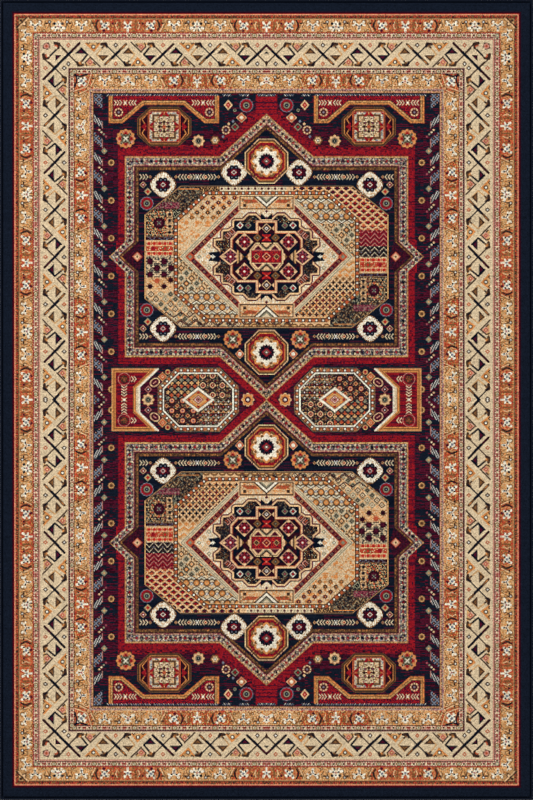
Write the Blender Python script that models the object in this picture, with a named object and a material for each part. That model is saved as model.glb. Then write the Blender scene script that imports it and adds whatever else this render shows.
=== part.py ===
"""Area rug, 1.6 m by 2.4 m: a woven pile rug with overcast edges.

The rug lies flat on the XY plane with its pile up, +Y along its length, and its
origin on the floor under its middle. From the floor up it is a latex back coat, a
ground weave and the pile. A filler cord runs along each edge inside a sleeve of
overcast yarn, and the sleeve's lips grip the edge of the ground weave.

Tufts are loose from one another and held only by the ground weave, so the pile is
one solid for each area of the design: four mitred strips for each border, and the
medallions, panels and ground of the field.
"""

import math

import bmesh
import bpy

# Overall size
RUG_WIDTH = 1.600
RUG_LENGTH = 2.400

# Layers, from the floor up
LATEX_THICKNESS = 0.0008
WEAVE_THICKNESS = 0.0020
PILE_HEIGHT = 0.0076

# Clearances between pieces that touch
LAYER_GAP = 0.0003
TUFT_GAP = 0.0003

# Overcast edge: a round sleeve with two flat lips, on a filler cord
SLEEVE_RADIUS = 0.0040
SLEEVE_WALL = 0.0011
SLEEVE_LIP = 0.0010
SLEEVE_REACH = 0.0110
CORD_CLEARANCE = 0.0003
SLEEVE_STEPS = 10
CORD_SIDES = 16

# Borders, from the sleeve inwards
EDGE_BAND_END = 0.0432
OUTER_BORDER_WIDTH = 0.0774
MAIN_BORDER_WIDTH = 0.0864
INNER_BORDER_WIDTH = 0.0753

# Medallion frame: a box with a pointed cap at each end and a small point each side
END_MARGIN = 0.0610
SIDE_MARGIN = 0.0480
CAP_HEIGHT = 0.1270
CAP_HALF_WIDTH = 0.1400
POINT_DEPTH = 0.0450
POINT_HALF_LENGTH = 0.0460

# Patchwork octagon inside the frame, and the star inside the patchwork
FRAME_SIDE = 0.0600
FRAME_END = 0.0890
PATCH_CUT_WIDTH = 0.1080
PATCH_CUT_LENGTH = 0.0870
PATCH_END = 0.0790
STAR_HALF_WIDTH = 0.1530
STAR_TIP_HALF_WIDTH = 0.0950
STAR_SHOULDER_SHARE = 0.55

# Hanging panel in each corner of the field
CORNER_PANEL_MARGIN = 0.0440
CORNER_PANEL_CENTRE = 0.1420
CORNER_PANEL_DEPTH = 0.0885
CORNER_PANEL_NECK = 0.0336
CORNER_PANEL_FOOT = 0.0415
CORNER_PANEL_SLOPE = 0.0550

# Panel at each side of the field, between the medallions
SIDE_PANEL_MARGIN = 0.0540
SIDE_PANEL_CENTRE = 0.0830
SIDE_PANEL_HALF_LENGTH = 0.0950
SIDE_PANEL_CUT = 0.0420

# Heights that follow from the layers
WEAVE_BOTTOM = LATEX_THICKNESS + LAYER_GAP
WEAVE_TOP = WEAVE_BOTTOM + WEAVE_THICKNESS
PILE_BOTTOM = WEAVE_TOP + LAYER_GAP
PILE_TOP = PILE_BOTTOM + PILE_HEIGHT

# Depths from the edge of the rug
CORD_RADIUS = SLEEVE_RADIUS - SLEEVE_WALL - CORD_CLEARANCE
WEAVE_INSET = SLEEVE_RADIUS + CORD_RADIUS + CORD_CLEARANCE
BACKING_INSET = SLEEVE_REACH + LAYER_GAP
OUTER_BORDER_END = EDGE_BAND_END + OUTER_BORDER_WIDTH
MAIN_BORDER_END = OUTER_BORDER_END + MAIN_BORDER_WIDTH
INNER_BORDER_END = MAIN_BORDER_END + INNER_BORDER_WIDTH

# The field and what stands in it, as half sizes
FIELD_X = RUG_WIDTH / 2 - INNER_BORDER_END
FIELD_Y = RUG_LENGTH / 2 - INNER_BORDER_END
MEDALLION_Y = (FIELD_Y - END_MARGIN) / 2
POINT_X = FIELD_X - SIDE_MARGIN
FRAME_X = POINT_X - POINT_DEPTH
FRAME_Y = MEDALLION_Y - CAP_HEIGHT
PATCH_X = FRAME_X - FRAME_SIDE
PATCH_Y = FRAME_Y - FRAME_END
STAR_Y = PATCH_Y - PATCH_END

# Quarter turns that carry the near side of the rug to each of its sides
SIDES = {"near": 0, "right": 1, "far": 2, "left": 3}

# Pile colours, and the yarns and coat that carry them: (red, green, blue), roughness
FINISHES = {
    "latex": ((0.62, 0.54, 0.40), 0.65),
    "jute": ((0.50, 0.38, 0.24), 0.90),
    "cord": ((0.60, 0.55, 0.46), 0.85),
    "navy_binding": ((0.010, 0.014, 0.026), 0.80),
    "navy_pile": ((0.007, 0.011, 0.022), 0.95),
    "orange_pile": ((0.40, 0.20, 0.09), 0.95),
    "ivory_pile": ((0.56, 0.44, 0.27), 0.95),
    "ground_pile": ((0.060, 0.022, 0.028), 0.95),
    "red_pile": ((0.20, 0.012, 0.018), 0.95),
    "patchwork_pile": ((0.42, 0.29, 0.16), 0.95),
    "star_pile": ((0.020, 0.018, 0.030), 0.95),
}


def finish(name):
    """The material called name, made the first time it is asked for."""
    material = bpy.data.materials.get(name)
    if material is None:
        colour, roughness = FINISHES[name]
        material = bpy.data.materials.new(name)
        material.use_nodes = True
        shader = material.node_tree.nodes["Principled BSDF"]
        shader.inputs["Base Color"].default_value = (*colour, 1.0)
        shader.inputs["Roughness"].default_value = roughness
        shader.inputs["Metallic"].default_value = 0.0
    return material


def new_object(name, bm, finish_name, parent=None):
    """An object called name from a finished bmesh, with its faces turned outwards."""
    bmesh.ops.recalc_face_normals(bm, faces=bm.faces)
    mesh = bpy.data.meshes.new(name)
    bm.to_mesh(mesh)
    bm.free()
    mesh.materials.append(finish(finish_name))
    obj = bpy.data.objects.new(name, mesh)
    bpy.context.scene.collection.objects.link(obj)
    obj.parent = parent
    return obj


def new_guide(name, y, turn):
    """An empty on the rug's middle line, which carries one end of the design."""
    guide = bpy.data.objects.new(name, None)
    guide.location = (0.0, y, 0.0)
    guide.rotation_euler = (0.0, 0.0, turn)
    bpy.context.scene.collection.objects.link(guide)
    return guide


def inset(outline, distance):
    """The outline with each side moved inwards by distance. It runs anticlockwise."""
    moved = []
    for i, (x, y) in enumerate(outline):
        before = outline[i - 1]
        after = outline[(i + 1) % len(outline)]
        in_x, in_y = x - before[0], y - before[1]
        out_x, out_y = after[0] - x, after[1] - y
        in_length = math.hypot(in_x, in_y)
        out_length = math.hypot(out_x, out_y)
        in_normal = (-in_y / in_length, in_x / in_length)
        out_normal = (-out_y / out_length, out_x / out_length)
        opening = 1.0 + in_normal[0] * out_normal[0] + in_normal[1] * out_normal[1]
        moved.append(
            (
                x + distance * (in_normal[0] + out_normal[0]) / opening,
                y + distance * (in_normal[1] + out_normal[1]) / opening,
            )
        )
    return moved


def slab(name, outline, bottom, top, finish_name, parent=None):
    """A flat solid between two heights. Its outline runs anticlockwise."""
    bm = bmesh.new()
    floor = [bm.verts.new((x, y, bottom)) for x, y in outline]
    roof = [bm.verts.new((x, y, top)) for x, y in outline]
    bm.faces.new(floor[::-1])
    bm.faces.new(roof)
    for i in range(len(outline)):
        j = (i + 1) % len(outline)
        bm.faces.new((floor[i], floor[j], roof[j], roof[i]))
    return new_object(name, bm, finish_name, parent)


def pile_area(name, outline, finish_name, parent=None):
    """The tufts inside one outline of the design, clear of their neighbours."""
    return slab(
        name, inset(outline, TUFT_GAP / 2), PILE_BOTTOM, PILE_TOP, finish_name, parent
    )


def rectangle(half_x, half_y):
    return [(-half_x, -half_y), (half_x, -half_y), (half_x, half_y), (-half_x, half_y)]


def octagon(half_x, half_y, flat_x, flat_y):
    """A rectangle with its corners cut. flat_x and flat_y are its half flats."""
    right = [(flat_x, -half_y), (half_x, -flat_y), (half_x, flat_y), (flat_x, half_y)]
    return right + [(-x, -y) for x, y in right]


def mirrored(outline):
    """The outline reflected in the rug's middle line, still anticlockwise."""
    return [(-x, y) for x, y in reversed(outline)]


def mitred_run(name, section, side, finish_name):
    """A section of (depth from the edge, height) points run along one side of the rug.

    Its ends lie in the diagonal planes through the rug's corners, so that the runs of
    the four sides meet in mitres.
    """
    turns = SIDES[side]
    along_x = turns % 2 == 0
    half_run = (RUG_WIDTH if along_x else RUG_LENGTH) / 2
    reach = (RUG_LENGTH if along_x else RUG_WIDTH) / 2
    mitre_gap = TUFT_GAP * math.sqrt(2) / 2
    bm = bmesh.new()
    rings = []
    for end in (-1, 1):
        rings.append(
            [
                bm.verts.new((end * (half_run - depth - mitre_gap), depth - reach, z))
                for depth, z in section
            ]
        )
    bm.faces.new(rings[0])
    bm.faces.new(rings[1][::-1])
    for i in range(len(section)):
        j = (i + 1) % len(section)
        bm.faces.new((rings[0][i], rings[1][i], rings[1][j], rings[0][j]))
    run = new_object(name, bm, finish_name)
    run.rotation_euler = (0.0, 0.0, turns * math.pi / 2)
    return run


def arc(centre, radius, start, end, steps):
    """Points on a circle from one angle to another, both in degrees."""
    points = []
    for i in range(steps + 1):
        angle = math.radians(start + (end - start) * i / steps)
        points.append(
            (centre[0] + radius * math.cos(angle), centre[1] + radius * math.sin(angle))
        )
    return points


def sleeve_section():
    """The overcast yarn round the cord: a round nose, and a lip on each face.

    The lower lip lies where the latex would, and the upper one on the ground weave.
    """
    nose = (SLEEVE_RADIUS, SLEEVE_RADIUS)
    inner_radius = SLEEVE_RADIUS - SLEEVE_WALL
    lip_top = PILE_BOTTOM + SLEEVE_LIP
    outer_end = math.degrees(math.asin((lip_top - nose[1]) / SLEEVE_RADIUS))
    inner_end = math.degrees(math.asin((PILE_BOTTOM - nose[1]) / inner_radius))
    outer = arc(nose, SLEEVE_RADIUS, 270, 90, SLEEVE_STEPS)
    outer += arc(nose, SLEEVE_RADIUS, 90, outer_end, SLEEVE_STEPS // 2)[1:]
    mouth = [(SLEEVE_REACH, lip_top), (SLEEVE_REACH, PILE_BOTTOM)]
    inner = arc(nose, inner_radius, inner_end, 270, SLEEVE_STEPS)
    floor = [
        (WEAVE_INSET - LAYER_GAP, LATEX_THICKNESS),
        (SLEEVE_REACH, LATEX_THICKNESS),
        (SLEEVE_REACH, 0.0),
    ]
    return outer + mouth + inner + floor


def band_section(start, end):
    """The pile between two depths from the edge, clear of the bands beside it."""
    half_gap = TUFT_GAP / 2
    return [
        (start + half_gap, PILE_BOTTOM),
        (end - half_gap, PILE_BOTTOM),
        (end - half_gap, PILE_TOP),
        (start + half_gap, PILE_TOP),
    ]


def make_backing():
    """The latex coat and, on it, the ground weave that holds every tuft."""
    latex = rectangle(RUG_WIDTH / 2 - BACKING_INSET, RUG_LENGTH / 2 - BACKING_INSET)
    weave = rectangle(RUG_WIDTH / 2 - WEAVE_INSET, RUG_LENGTH / 2 - WEAVE_INSET)
    slab("latex_back_coat", latex, 0.0, LATEX_THICKNESS, "latex")
    slab("ground_weave", weave, WEAVE_BOTTOM, WEAVE_TOP, "jute")


def make_edges():
    """The filler cord and the overcast sleeve of each side."""
    nose = (SLEEVE_RADIUS, SLEEVE_RADIUS)
    cord = arc(nose, CORD_RADIUS, 0, 360 - 360 / CORD_SIDES, CORD_SIDES - 1)
    for side in SIDES:
        mitred_run(f"edge_cord_{side}", cord, side, "cord")
        mitred_run(f"edge_overcasting_{side}", sleeve_section(), side, "navy_binding")


def make_borders():
    """The plain edge band and the three patterned borders inside it."""
    bands = (
        ("edge_band", BACKING_INSET, EDGE_BAND_END, "navy_pile"),
        ("outer_border", EDGE_BAND_END, OUTER_BORDER_END, "orange_pile"),
        ("main_border", OUTER_BORDER_END, MAIN_BORDER_END, "ivory_pile"),
        ("inner_border", MAIN_BORDER_END, INNER_BORDER_END, "orange_pile"),
    )
    for band, start, end, colour in bands:
        for side in SIDES:
            mitred_run(f"{band}_{side}", band_section(start, end), side, colour)


def make_medallion(end, guide):
    """One medallion round its own centre: the frame, the patchwork and the star."""
    patch_flat_x = PATCH_X - PATCH_CUT_WIDTH
    patch_flat_y = PATCH_Y - PATCH_CUT_LENGTH
    star_flat_y = STAR_Y * STAR_SHOULDER_SHARE
    frame = [
        (0.0, MEDALLION_Y),
        (-CAP_HALF_WIDTH, FRAME_Y),
        (-FRAME_X, FRAME_Y),
        (-FRAME_X, POINT_HALF_LENGTH),
        (-POINT_X, 0.0),
        (-FRAME_X, -POINT_HALF_LENGTH),
        (-FRAME_X, -FRAME_Y),
        (-CAP_HALF_WIDTH, -FRAME_Y),
        (0.0, -MEDALLION_Y),
    ]
    patch = [
        (0.0, -PATCH_Y),
        (-patch_flat_x, -PATCH_Y),
        (-PATCH_X, -patch_flat_y),
        (-PATCH_X, patch_flat_y),
        (-patch_flat_x, PATCH_Y),
        (0.0, PATCH_Y),
    ]
    star = [
        (0.0, -STAR_Y),
        (-STAR_TIP_HALF_WIDTH, -STAR_Y),
        (-STAR_HALF_WIDTH, -star_flat_y),
        (-STAR_HALF_WIDTH, star_flat_y),
        (-STAR_TIP_HALF_WIDTH, STAR_Y),
        (0.0, STAR_Y),
    ]
    frame_half = frame + patch
    patch_half = patch[::-1] + star
    whole_star = octagon(STAR_HALF_WIDTH, STAR_Y, STAR_TIP_HALF_WIDTH, star_flat_y)
    left, right = ("left", "right") if end == "far" else ("right", "left")
    pile_area(f"frame_{end}_{left}", frame_half, "red_pile", guide)
    pile_area(f"frame_{end}_{right}", mirrored(frame_half), "red_pile", guide)
    pile_area(f"patchwork_{end}_{left}", patch_half, "patchwork_pile", guide)
    pile_area(f"patchwork_{end}_{right}", mirrored(patch_half), "patchwork_pile", guide)
    pile_area(f"star_{end}", whole_star, "star_pile", guide)


def corner_panel_foot(x, towards_centre):
    """The three points where a foot of the corner panel hangs down at x."""
    step = towards_centre * CORNER_PANEL_FOOT
    slope = towards_centre * CORNER_PANEL_SLOPE
    foot_y = FIELD_Y - CORNER_PANEL_DEPTH
    neck_y = FIELD_Y - CORNER_PANEL_NECK
    return [(x, foot_y), (x + step, foot_y), (x + step + slope, neck_y)]


def make_field_end(end, guide):
    """The corner panels, the side ground and the middle ground of one half."""
    panel_out = -(FIELD_X - CORNER_PANEL_MARGIN)
    panel_in = -CORNER_PANEL_CENTRE
    side_out = -(FIELD_X - SIDE_PANEL_MARGIN)
    side_in = -SIDE_PANEL_CENTRE
    side_cut = SIDE_PANEL_HALF_LENGTH - SIDE_PANEL_CUT
    panel_edge = (
        [(panel_out, FIELD_Y)]
        + corner_panel_foot(panel_out, 1)
        + corner_panel_foot(panel_in, -1)[::-1]
        + [(panel_in, FIELD_Y)]
    )
    corner_ground = [
        (-FIELD_X, FIELD_Y),
        (-FIELD_X, MEDALLION_Y),
        (-POINT_X, MEDALLION_Y),
        (-FRAME_X, MEDALLION_Y + POINT_HALF_LENGTH),
        (-FRAME_X, MEDALLION_Y + FRAME_Y),
        (-CAP_HALF_WIDTH, MEDALLION_Y + FRAME_Y),
        (0.0, 2 * MEDALLION_Y),
        (0.0, FIELD_Y),
    ] + panel_edge[::-1]
    middle_ground = [
        (-FIELD_X, 0.0),
        (side_out, 0.0),
        (side_out, SIDE_PANEL_HALF_LENGTH),
        (side_in - SIDE_PANEL_CUT, SIDE_PANEL_HALF_LENGTH),
        (side_in, side_cut),
        (side_in, 0.0),
        (0.0, 0.0),
        (-CAP_HALF_WIDTH, CAP_HEIGHT),
        (-FRAME_X, CAP_HEIGHT),
        (-FRAME_X, MEDALLION_Y - POINT_HALF_LENGTH),
        (-POINT_X, MEDALLION_Y),
        (-FIELD_X, MEDALLION_Y),
    ]
    left, right = ("left", "right") if end == "far" else ("right", "left")
    areas = (
        ("corner_panel", panel_edge, "red_pile"),
        ("corner_ground", corner_ground, "ground_pile"),
        ("middle_ground", middle_ground, "ground_pile"),
    )
    for area, outline, colour in areas:
        pile_area(f"{area}_{end}_{left}", outline, colour, guide)
        pile_area(f"{area}_{end}_{right}", mirrored(outline), colour, guide)


def make_side_panels():
    """The panel at the left and right of the field, between the medallions."""
    outer = FIELD_X - SIDE_PANEL_MARGIN
    cut = SIDE_PANEL_HALF_LENGTH - SIDE_PANEL_CUT
    right = [
        (SIDE_PANEL_CENTRE, -cut),
        (SIDE_PANEL_CENTRE + SIDE_PANEL_CUT, -SIDE_PANEL_HALF_LENGTH),
        (outer, -SIDE_PANEL_HALF_LENGTH),
        (outer, SIDE_PANEL_HALF_LENGTH),
        (SIDE_PANEL_CENTRE + SIDE_PANEL_CUT, SIDE_PANEL_HALF_LENGTH),
        (SIDE_PANEL_CENTRE, cut),
    ]
    pile_area("side_panel_right", right, "patchwork_pile")
    pile_area("side_panel_left", mirrored(right), "patchwork_pile")


def make_field():
    """Both halves of the field, the near one turned half round from the far one."""
    for end, turn, y in (("far", 0.0, MEDALLION_Y), ("near", math.pi, -MEDALLION_Y)):
        make_medallion(end, new_guide(f"medallion_{end}_centre", y, turn))
        make_field_end(end, new_guide(f"field_{end}_half", 0.0, turn))
    make_side_panels()


def main():
    for obj in list(bpy.data.objects):
        bpy.data.objects.remove(obj)
    make_backing()
    make_edges()
    make_borders()
    make_field()


if __name__ == "__main__":
    main()
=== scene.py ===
"""Area rug: a woven rug with a patterned tufted pile, built on the frame of its CAD model."""

import bpy
import numpy as np
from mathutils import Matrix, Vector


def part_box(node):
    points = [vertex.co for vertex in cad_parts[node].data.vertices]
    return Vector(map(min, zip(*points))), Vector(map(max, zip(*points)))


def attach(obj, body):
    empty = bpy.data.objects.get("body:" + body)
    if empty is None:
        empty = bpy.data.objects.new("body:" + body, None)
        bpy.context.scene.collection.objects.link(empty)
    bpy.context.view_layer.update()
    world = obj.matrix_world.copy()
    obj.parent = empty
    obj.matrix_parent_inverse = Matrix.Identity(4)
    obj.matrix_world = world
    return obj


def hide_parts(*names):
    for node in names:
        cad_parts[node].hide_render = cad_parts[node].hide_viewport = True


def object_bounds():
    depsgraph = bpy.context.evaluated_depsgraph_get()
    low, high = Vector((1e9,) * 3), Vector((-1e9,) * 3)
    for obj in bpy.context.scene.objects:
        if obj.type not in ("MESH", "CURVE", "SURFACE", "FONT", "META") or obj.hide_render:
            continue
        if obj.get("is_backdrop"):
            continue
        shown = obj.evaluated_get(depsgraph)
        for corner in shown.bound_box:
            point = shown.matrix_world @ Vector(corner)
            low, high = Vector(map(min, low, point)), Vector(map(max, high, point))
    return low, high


bl_info = {
    "name": "Area Rug",
    "version": (1, 0, 0),
    "blender": (4, 5, 0),
    "location": "View3D > Sidebar > Rug",
    "description": "Builds a patterned area rug with its pile, overcast edge, ground weave and backing",
    "category": "Add Mesh",
}

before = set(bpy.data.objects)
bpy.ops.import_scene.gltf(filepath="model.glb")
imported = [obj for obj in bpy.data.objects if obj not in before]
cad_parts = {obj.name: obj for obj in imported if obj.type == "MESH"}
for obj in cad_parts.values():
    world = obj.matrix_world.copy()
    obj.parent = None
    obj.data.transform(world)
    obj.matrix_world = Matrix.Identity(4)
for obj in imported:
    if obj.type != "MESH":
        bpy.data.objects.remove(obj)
CAD_LOW, CAD_HIGH = (np.array(corner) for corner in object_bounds())


def node_box(name):
    """The lowest and highest corner of a CAD node as arrays, in metres."""
    low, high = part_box(name)
    return np.array(low), np.array(high)


SIDES = ("near", "right", "far", "left")
PILE_SLOTS = {
    "edge_band": "edge_band_pile", "outer_border": "outer_border_pile", "main_border": "main_border_pile",
    "inner_border": "inner_border_pile", "frame": "frame_pile", "patchwork": "patchwork_pile",
    "star": "star_pile", "corner_panel": "corner_panel_pile", "corner_ground": "ground_pile",
    "middle_ground": "ground_pile", "side_panel": "side_panel_pile",
}
PILE_LOW, PILE_HIGH = node_box("edge_band_near")
PILE_BASE, PILE_TOP = PILE_LOW[2], PILE_HIGH[2]
PILE_MARGIN = PILE_LOW[1] - CAD_LOW[1]

# The tufts' pitch in millimetres, the samples of the drawing along one tuft, and their pitch.
TUFT = 2.5
FINE = 3
SAMPLE = TUFT / FINE

WOOLS = {
    "navy": (21, 28, 41), "ink": (13, 20, 34), "maroon": (78, 20, 40), "wine": (48, 14, 28),
    "red": (146, 26, 36), "scarlet": (188, 44, 38), "rust": (184, 84, 54), "orange": (214, 138, 76),
    "tan": (208, 160, 106), "peach": (226, 184, 138), "ivory": (222, 198, 161), "cream": (240, 228, 204),
    "pink": (206, 142, 122), "blue": (120, 124, 136), "sage": (140, 136, 112), "brown": (126, 86, 52),
    "umber": (64, 44, 36), "rose": (150, 74, 84),
}


def within(points, x, y):
    """Which places lie inside an outline: each edge that passes to their right turns the answer round."""
    inside = np.zeros(x.shape, bool)
    for (x0, y0), (x1, y1) in zip(points, points[1:] + points[:1]):
        if y0 != y1:
            inside ^= ((y0 > y) != (y1 > y)) & (x < (x1 - x0) * (y - y0) / (y1 - y0) + x0)
    return inside


def reach(points, x, y):
    """How far each place is from a line: the least distance to any of its straight stretches."""
    nearest = np.full(x.shape, np.inf)
    for (x0, y0), (x1, y1) in zip(points, points[1:]):
        dx, dy = x1 - x0, y1 - y0
        share = np.clip(((x - x0) * dx + (y - y0) * dy) / max(dx * dx + dy * dy, 1e-9), 0, 1)
        nearest = np.minimum(nearest, np.hypot(x - x0 - share * dx, y - y0 - share * dy))
    return nearest


def depth_in(points, x, y):
    """How deep each place lies in a convex outline with mitred corners: the least depth behind an edge."""
    area = sum(x0 * y1 - x1 * y0 for (x0, y0), (x1, y1) in zip(points, points[1:] + points[:1]))
    depth = np.full(x.shape, np.inf)
    for (x0, y0), (x1, y1) in zip(points, points[1:] + points[:1]):
        length = np.hypot(x1 - x0, y1 - y0)
        behind = ((x1 - x0) * (y - y0) - (y1 - y0) * (x - x0)) / length
        depth = np.minimum(depth, behind * np.sign(area))
    return depth


def octagon(half_width, half_length, cut_width, cut_length):
    """The outline of a box about the origin with its four corners cut off."""
    w, l, a, b = half_width, half_length, half_width - cut_width, half_length - cut_length
    return [(-w, -b), (-a, -l), (a, -l), (w, -b), (w, b), (a, l), (-a, l), (-w, b)]


def pairs(numbers):
    """Places as a list of x and y, from such a list or from x and y by turns."""
    return np.reshape(numbers, (-1, 2)).tolist()


class Cloth:
    """A drawing in wool colours on a fine grid, from one corner to the other, in millimetres."""

    def __init__(self, low, high, wools, ground, seed):
        columns, rows = (int(round((b - a) / SAMPLE)) for a, b in zip(low, high))
        self.low, self.wools = low, wools
        self.random = np.random.default_rng(seed)
        self.colours = np.empty((rows, columns, 3), np.float32)
        self.colours[:] = wools[ground]

    def window(self, low, high):
        """The part of the grid in a box, as two slices and the places of its samples."""
        rows, columns = self.colours.shape[:2]
        first = [max(0, int(np.floor((low[i] - self.low[i]) / SAMPLE))) for i in (0, 1)]
        last = [int(np.ceil((high[i] - self.low[i]) / SAMPLE)) for i in (0, 1)]
        last = [min(columns, last[0]), min(rows, last[1])]
        if first[0] >= last[0] or first[1] >= last[1]:
            return None
        x = self.low[0] + (np.arange(first[0], last[0]) + 0.5) * SAMPLE
        y = self.low[1] + (np.arange(first[1], last[1]) + 0.5) * SAMPLE
        return (slice(first[1], last[1]), slice(first[0], last[0])), *np.meshgrid(x, y)


class Pen:
    """Draws on a cloth in axes of its own, which can be moved, turned or mirrored, in millimetres."""

    def __init__(self, cloth, axes=((1, 0), (0, 1)), origin=(0, 0), edges=()):
        self.cloth, self.edges = cloth, edges
        self.axes, self.origin = np.array(axes, float), np.array(origin, float)

    def at(self, x, y, turn=0, mirror=False):
        """A pen whose origin is at x, y, turned by degrees, then mirrored in x if asked."""
        c, s = np.cos(np.radians(turn)), np.sin(np.radians(turn))
        local = np.array(((c, -s), (s, c)))
        if mirror:
            local = local @ ((-1, 0), (0, 1))
        return Pen(self.cloth, self.axes @ local, self.axes @ (x, y) + self.origin, self.edges)

    def turned(self, count, first=0, x=0, y=0):
        """Pens turned by equal steps round a place, from a first angle in degrees."""
        return [self.at(x, y, turn=first + k * 360 / count) for k in range(count)]

    def sides(self):
        """This pen turned over from left to right, and then as it is."""
        return self.flipped(-1, 1), self

    def flipped(self, across, along):
        """A pen with x and y each kept, for 1, or turned over, for -1."""
        return Pen(self.cloth, self.axes @ ((across, 0), (0, along)), self.origin, self.edges)

    def kept_in(self, points):
        """A pen that only colours inside an outline."""
        edge = [tuple(p) for p in np.array(points, float) @ self.axes.T + self.origin]
        return Pen(self.cloth, self.axes, self.origin, self.edges + (edge,))

    def paint(self, low, high, rule, wool):
        """Colours the samples in a box where the rule, a function of x and y, holds."""
        corners = np.array([(a, b) for a in (low[0], high[0]) for b in (low[1], high[1])], float)
        corners = corners @ self.axes.T + self.origin
        found = self.cloth.window(corners.min(0), corners.max(0))
        if found is None:
            return
        patch, x, y = found
        back = np.linalg.inv(self.axes)
        u = back[0, 0] * (x - self.origin[0]) + back[0, 1] * (y - self.origin[1])
        v = back[1, 0] * (x - self.origin[0]) + back[1, 1] * (y - self.origin[1])
        chosen = rule(u, v) & (u >= low[0]) & (u <= high[0]) & (v >= low[1]) & (v <= high[1])
        for edge in self.edges:
            chosen &= within(edge, x, y)
        self.cloth.colours[patch][chosen] = self.cloth.wools[wool]

    def shape(self, points, wool, rule=None):
        """An outline, as pairs or as x and y by turns, filled with one wool, or only where a rule holds."""
        points = pairs(points)
        low, high = np.min(points, 0), np.max(points, 0)
        if rule is None:
            self.paint(low, high, lambda x, y: within(points, x, y), wool)
        else:
            self.paint(low, high, lambda x, y: within(points, x, y) & rule(x, y), wool)

    def line(self, points, width, wool):
        """A line of one width through points, as pairs or as x and y by turns, with round ends."""
        points = pairs(points)
        low, high = np.min(points, 0) - width, np.max(points, 0) + width
        self.paint(low, high, lambda x, y: reach(points, x, y) < width / 2, wool)

    def box(self, x0, y0, x1, y1, wool, rule=None, **shares):
        """A box of one wool, or only where a rule holds, and then random spots of other wools."""
        low, high = (min(x0, x1), min(y0, y1)), (max(x0, x1), max(y0, y1))
        self.paint(low, high, rule or (lambda x, y: x == x), wool)
        self.mottle(x0, y0, x1, y1, **shares)

    def disc(self, wool, radius, x=0, y=0, inner=0):
        """A round spot, or only its part further than an inner radius from the middle."""
        def rule(u, v):
            away = np.hypot(u - x, v - y)
            return (away < radius) & (away >= inner)
        self.paint((x - radius, y - radius), (x + radius, y + radius), rule, wool)

    def ring(self, wool, radius, width, centre=None, x=0, y=0):
        """A ring of a width inside its radius, with its middle filled if a wool is named."""
        self.disc(wool, radius, x, y, radius - width)
        if centre:
            self.disc(centre, radius - width, x, y)

    def diamond(self, wool, half_width, half_height=None, x=0, y=0):
        """A diamond, as tall as it is wide if no height is given."""
        w, h = half_width, half_height or half_width
        self.paint((x - w, y - h), (x + w, y + h), lambda u, v: abs(u - x) / w + abs(v - y) / h < 1, wool)

    def petals(self, wool, radius, count, depth, x=0, y=0, turn=0, squash=1):
        """A lobed disc: its radius falls by a share, depth, between its petals."""
        def rule(u, v):
            angle = np.arctan2((v - y) / squash, u - x)
            lobes = 1 - depth * (0.5 - 0.5 * np.cos(count * (angle - np.radians(turn))))
            return np.hypot(u - x, (v - y) / squash) < radius * lobes
        self.paint((x - radius, y - radius), (x + radius, y + radius), rule, wool)

    def bands(self, points, bands):
        """Bands inside a convex outline, each from one depth to another with its wool."""
        low, high = np.min(points, 0), np.max(points, 0)
        for start, end, wool in bands:
            rule = lambda x, y: (depth_in(points, x, y) >= start) & (depth_in(points, x, y) < end)
            self.paint(low, high, rule, wool)

    def mottle(self, x0, y0, x1, y1, grain=(TUFT, TUFT), rule=None, **shares):
        """Random spots of each named wool over its share of a box, each as wide and long as the grain."""
        low, high = (min(x0, x1), min(y0, y1)), (max(x0, x1), max(y0, y1))
        size = [int(np.ceil((b - a) / g)) + 1 for a, b, g in zip(low, high, grain)]
        for wool, share in shares.items():
            spots = self.cloth.random.random(size) < share
            def chosen(x, y):
                i = np.clip(((x - low[0]) / grain[0]).astype(int), 0, size[0] - 1)
                j = np.clip(((y - low[1]) / grain[1]).astype(int), 0, size[1] - 1)
                return spots[i, j] & rule(x, y) if rule else spots[i, j]
            self.paint(low, high, chosen, wool)


# Borders. Each side is drawn from its corner to its middle: x runs along the side, y in from the edge.

def small_ring(pen, x, y, wool="umber", centre="cream", radius=5.2):
    """A small filled ring."""
    pen.ring(wool, radius, 2.4, centre, x, y)


def forked_flower(pen):
    """A white flower with two raised arms, side lobes and a trunk, and dark dots where they meet."""
    for half in pen.sides():
        half.line((10, -17, 17, -18, 20, -12, 19, -7), 3.2, "brown")
        half.line((0, 0, 9, -7, 14, -13), 7, "cream")
        half.line((9, -6, 17, -3), 5, "cream")
        half.line((7, -16, 9, -11), 2, "brown")
        small_ring(half, 27, 13, "brown", "peach", 4.6)
    pen.line((0, 0, 0, 11), 8.5, "cream")
    for x, y in ((-8, -4), (8, -4), (0, 7)):
        pen.line((0, 0, x, y), 1.6, "wine")
        pen.disc("ink", 2.7, x, y)


def spiked_flower(pen):
    """A white flower with eight points and two big dark eyes, between two stemmed rings."""
    for half in pen.sides():
        half.line((25, -9, 24, 0, 21, 9), 2.6, "umber")
        small_ring(half, 26, -13)
        half.line((6, 2, 18, 6), 8, "cream")
        half.line((4, 4, 10, 13), 6, "cream")
        half.line((0, 0, 8, -9), 7, "cream")
    pen.disc("cream", 10)
    pen.line((0, 0, 0, -12), 8.5, "cream")
    for half in pen.sides():
        half.disc("ink", 4.2, 11.5, -8)
        half.line((0, 0, 8.5, 3), 1.5, "rose")
        half.disc("ink", 2.6, 8.5, 3)
        half.line((3.5, 9, 4.5, 15), 3.4, "umber")
    pen.disc("ink", 2.2, 0, -7)
    pen.disc("rose", 2.4)


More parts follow.
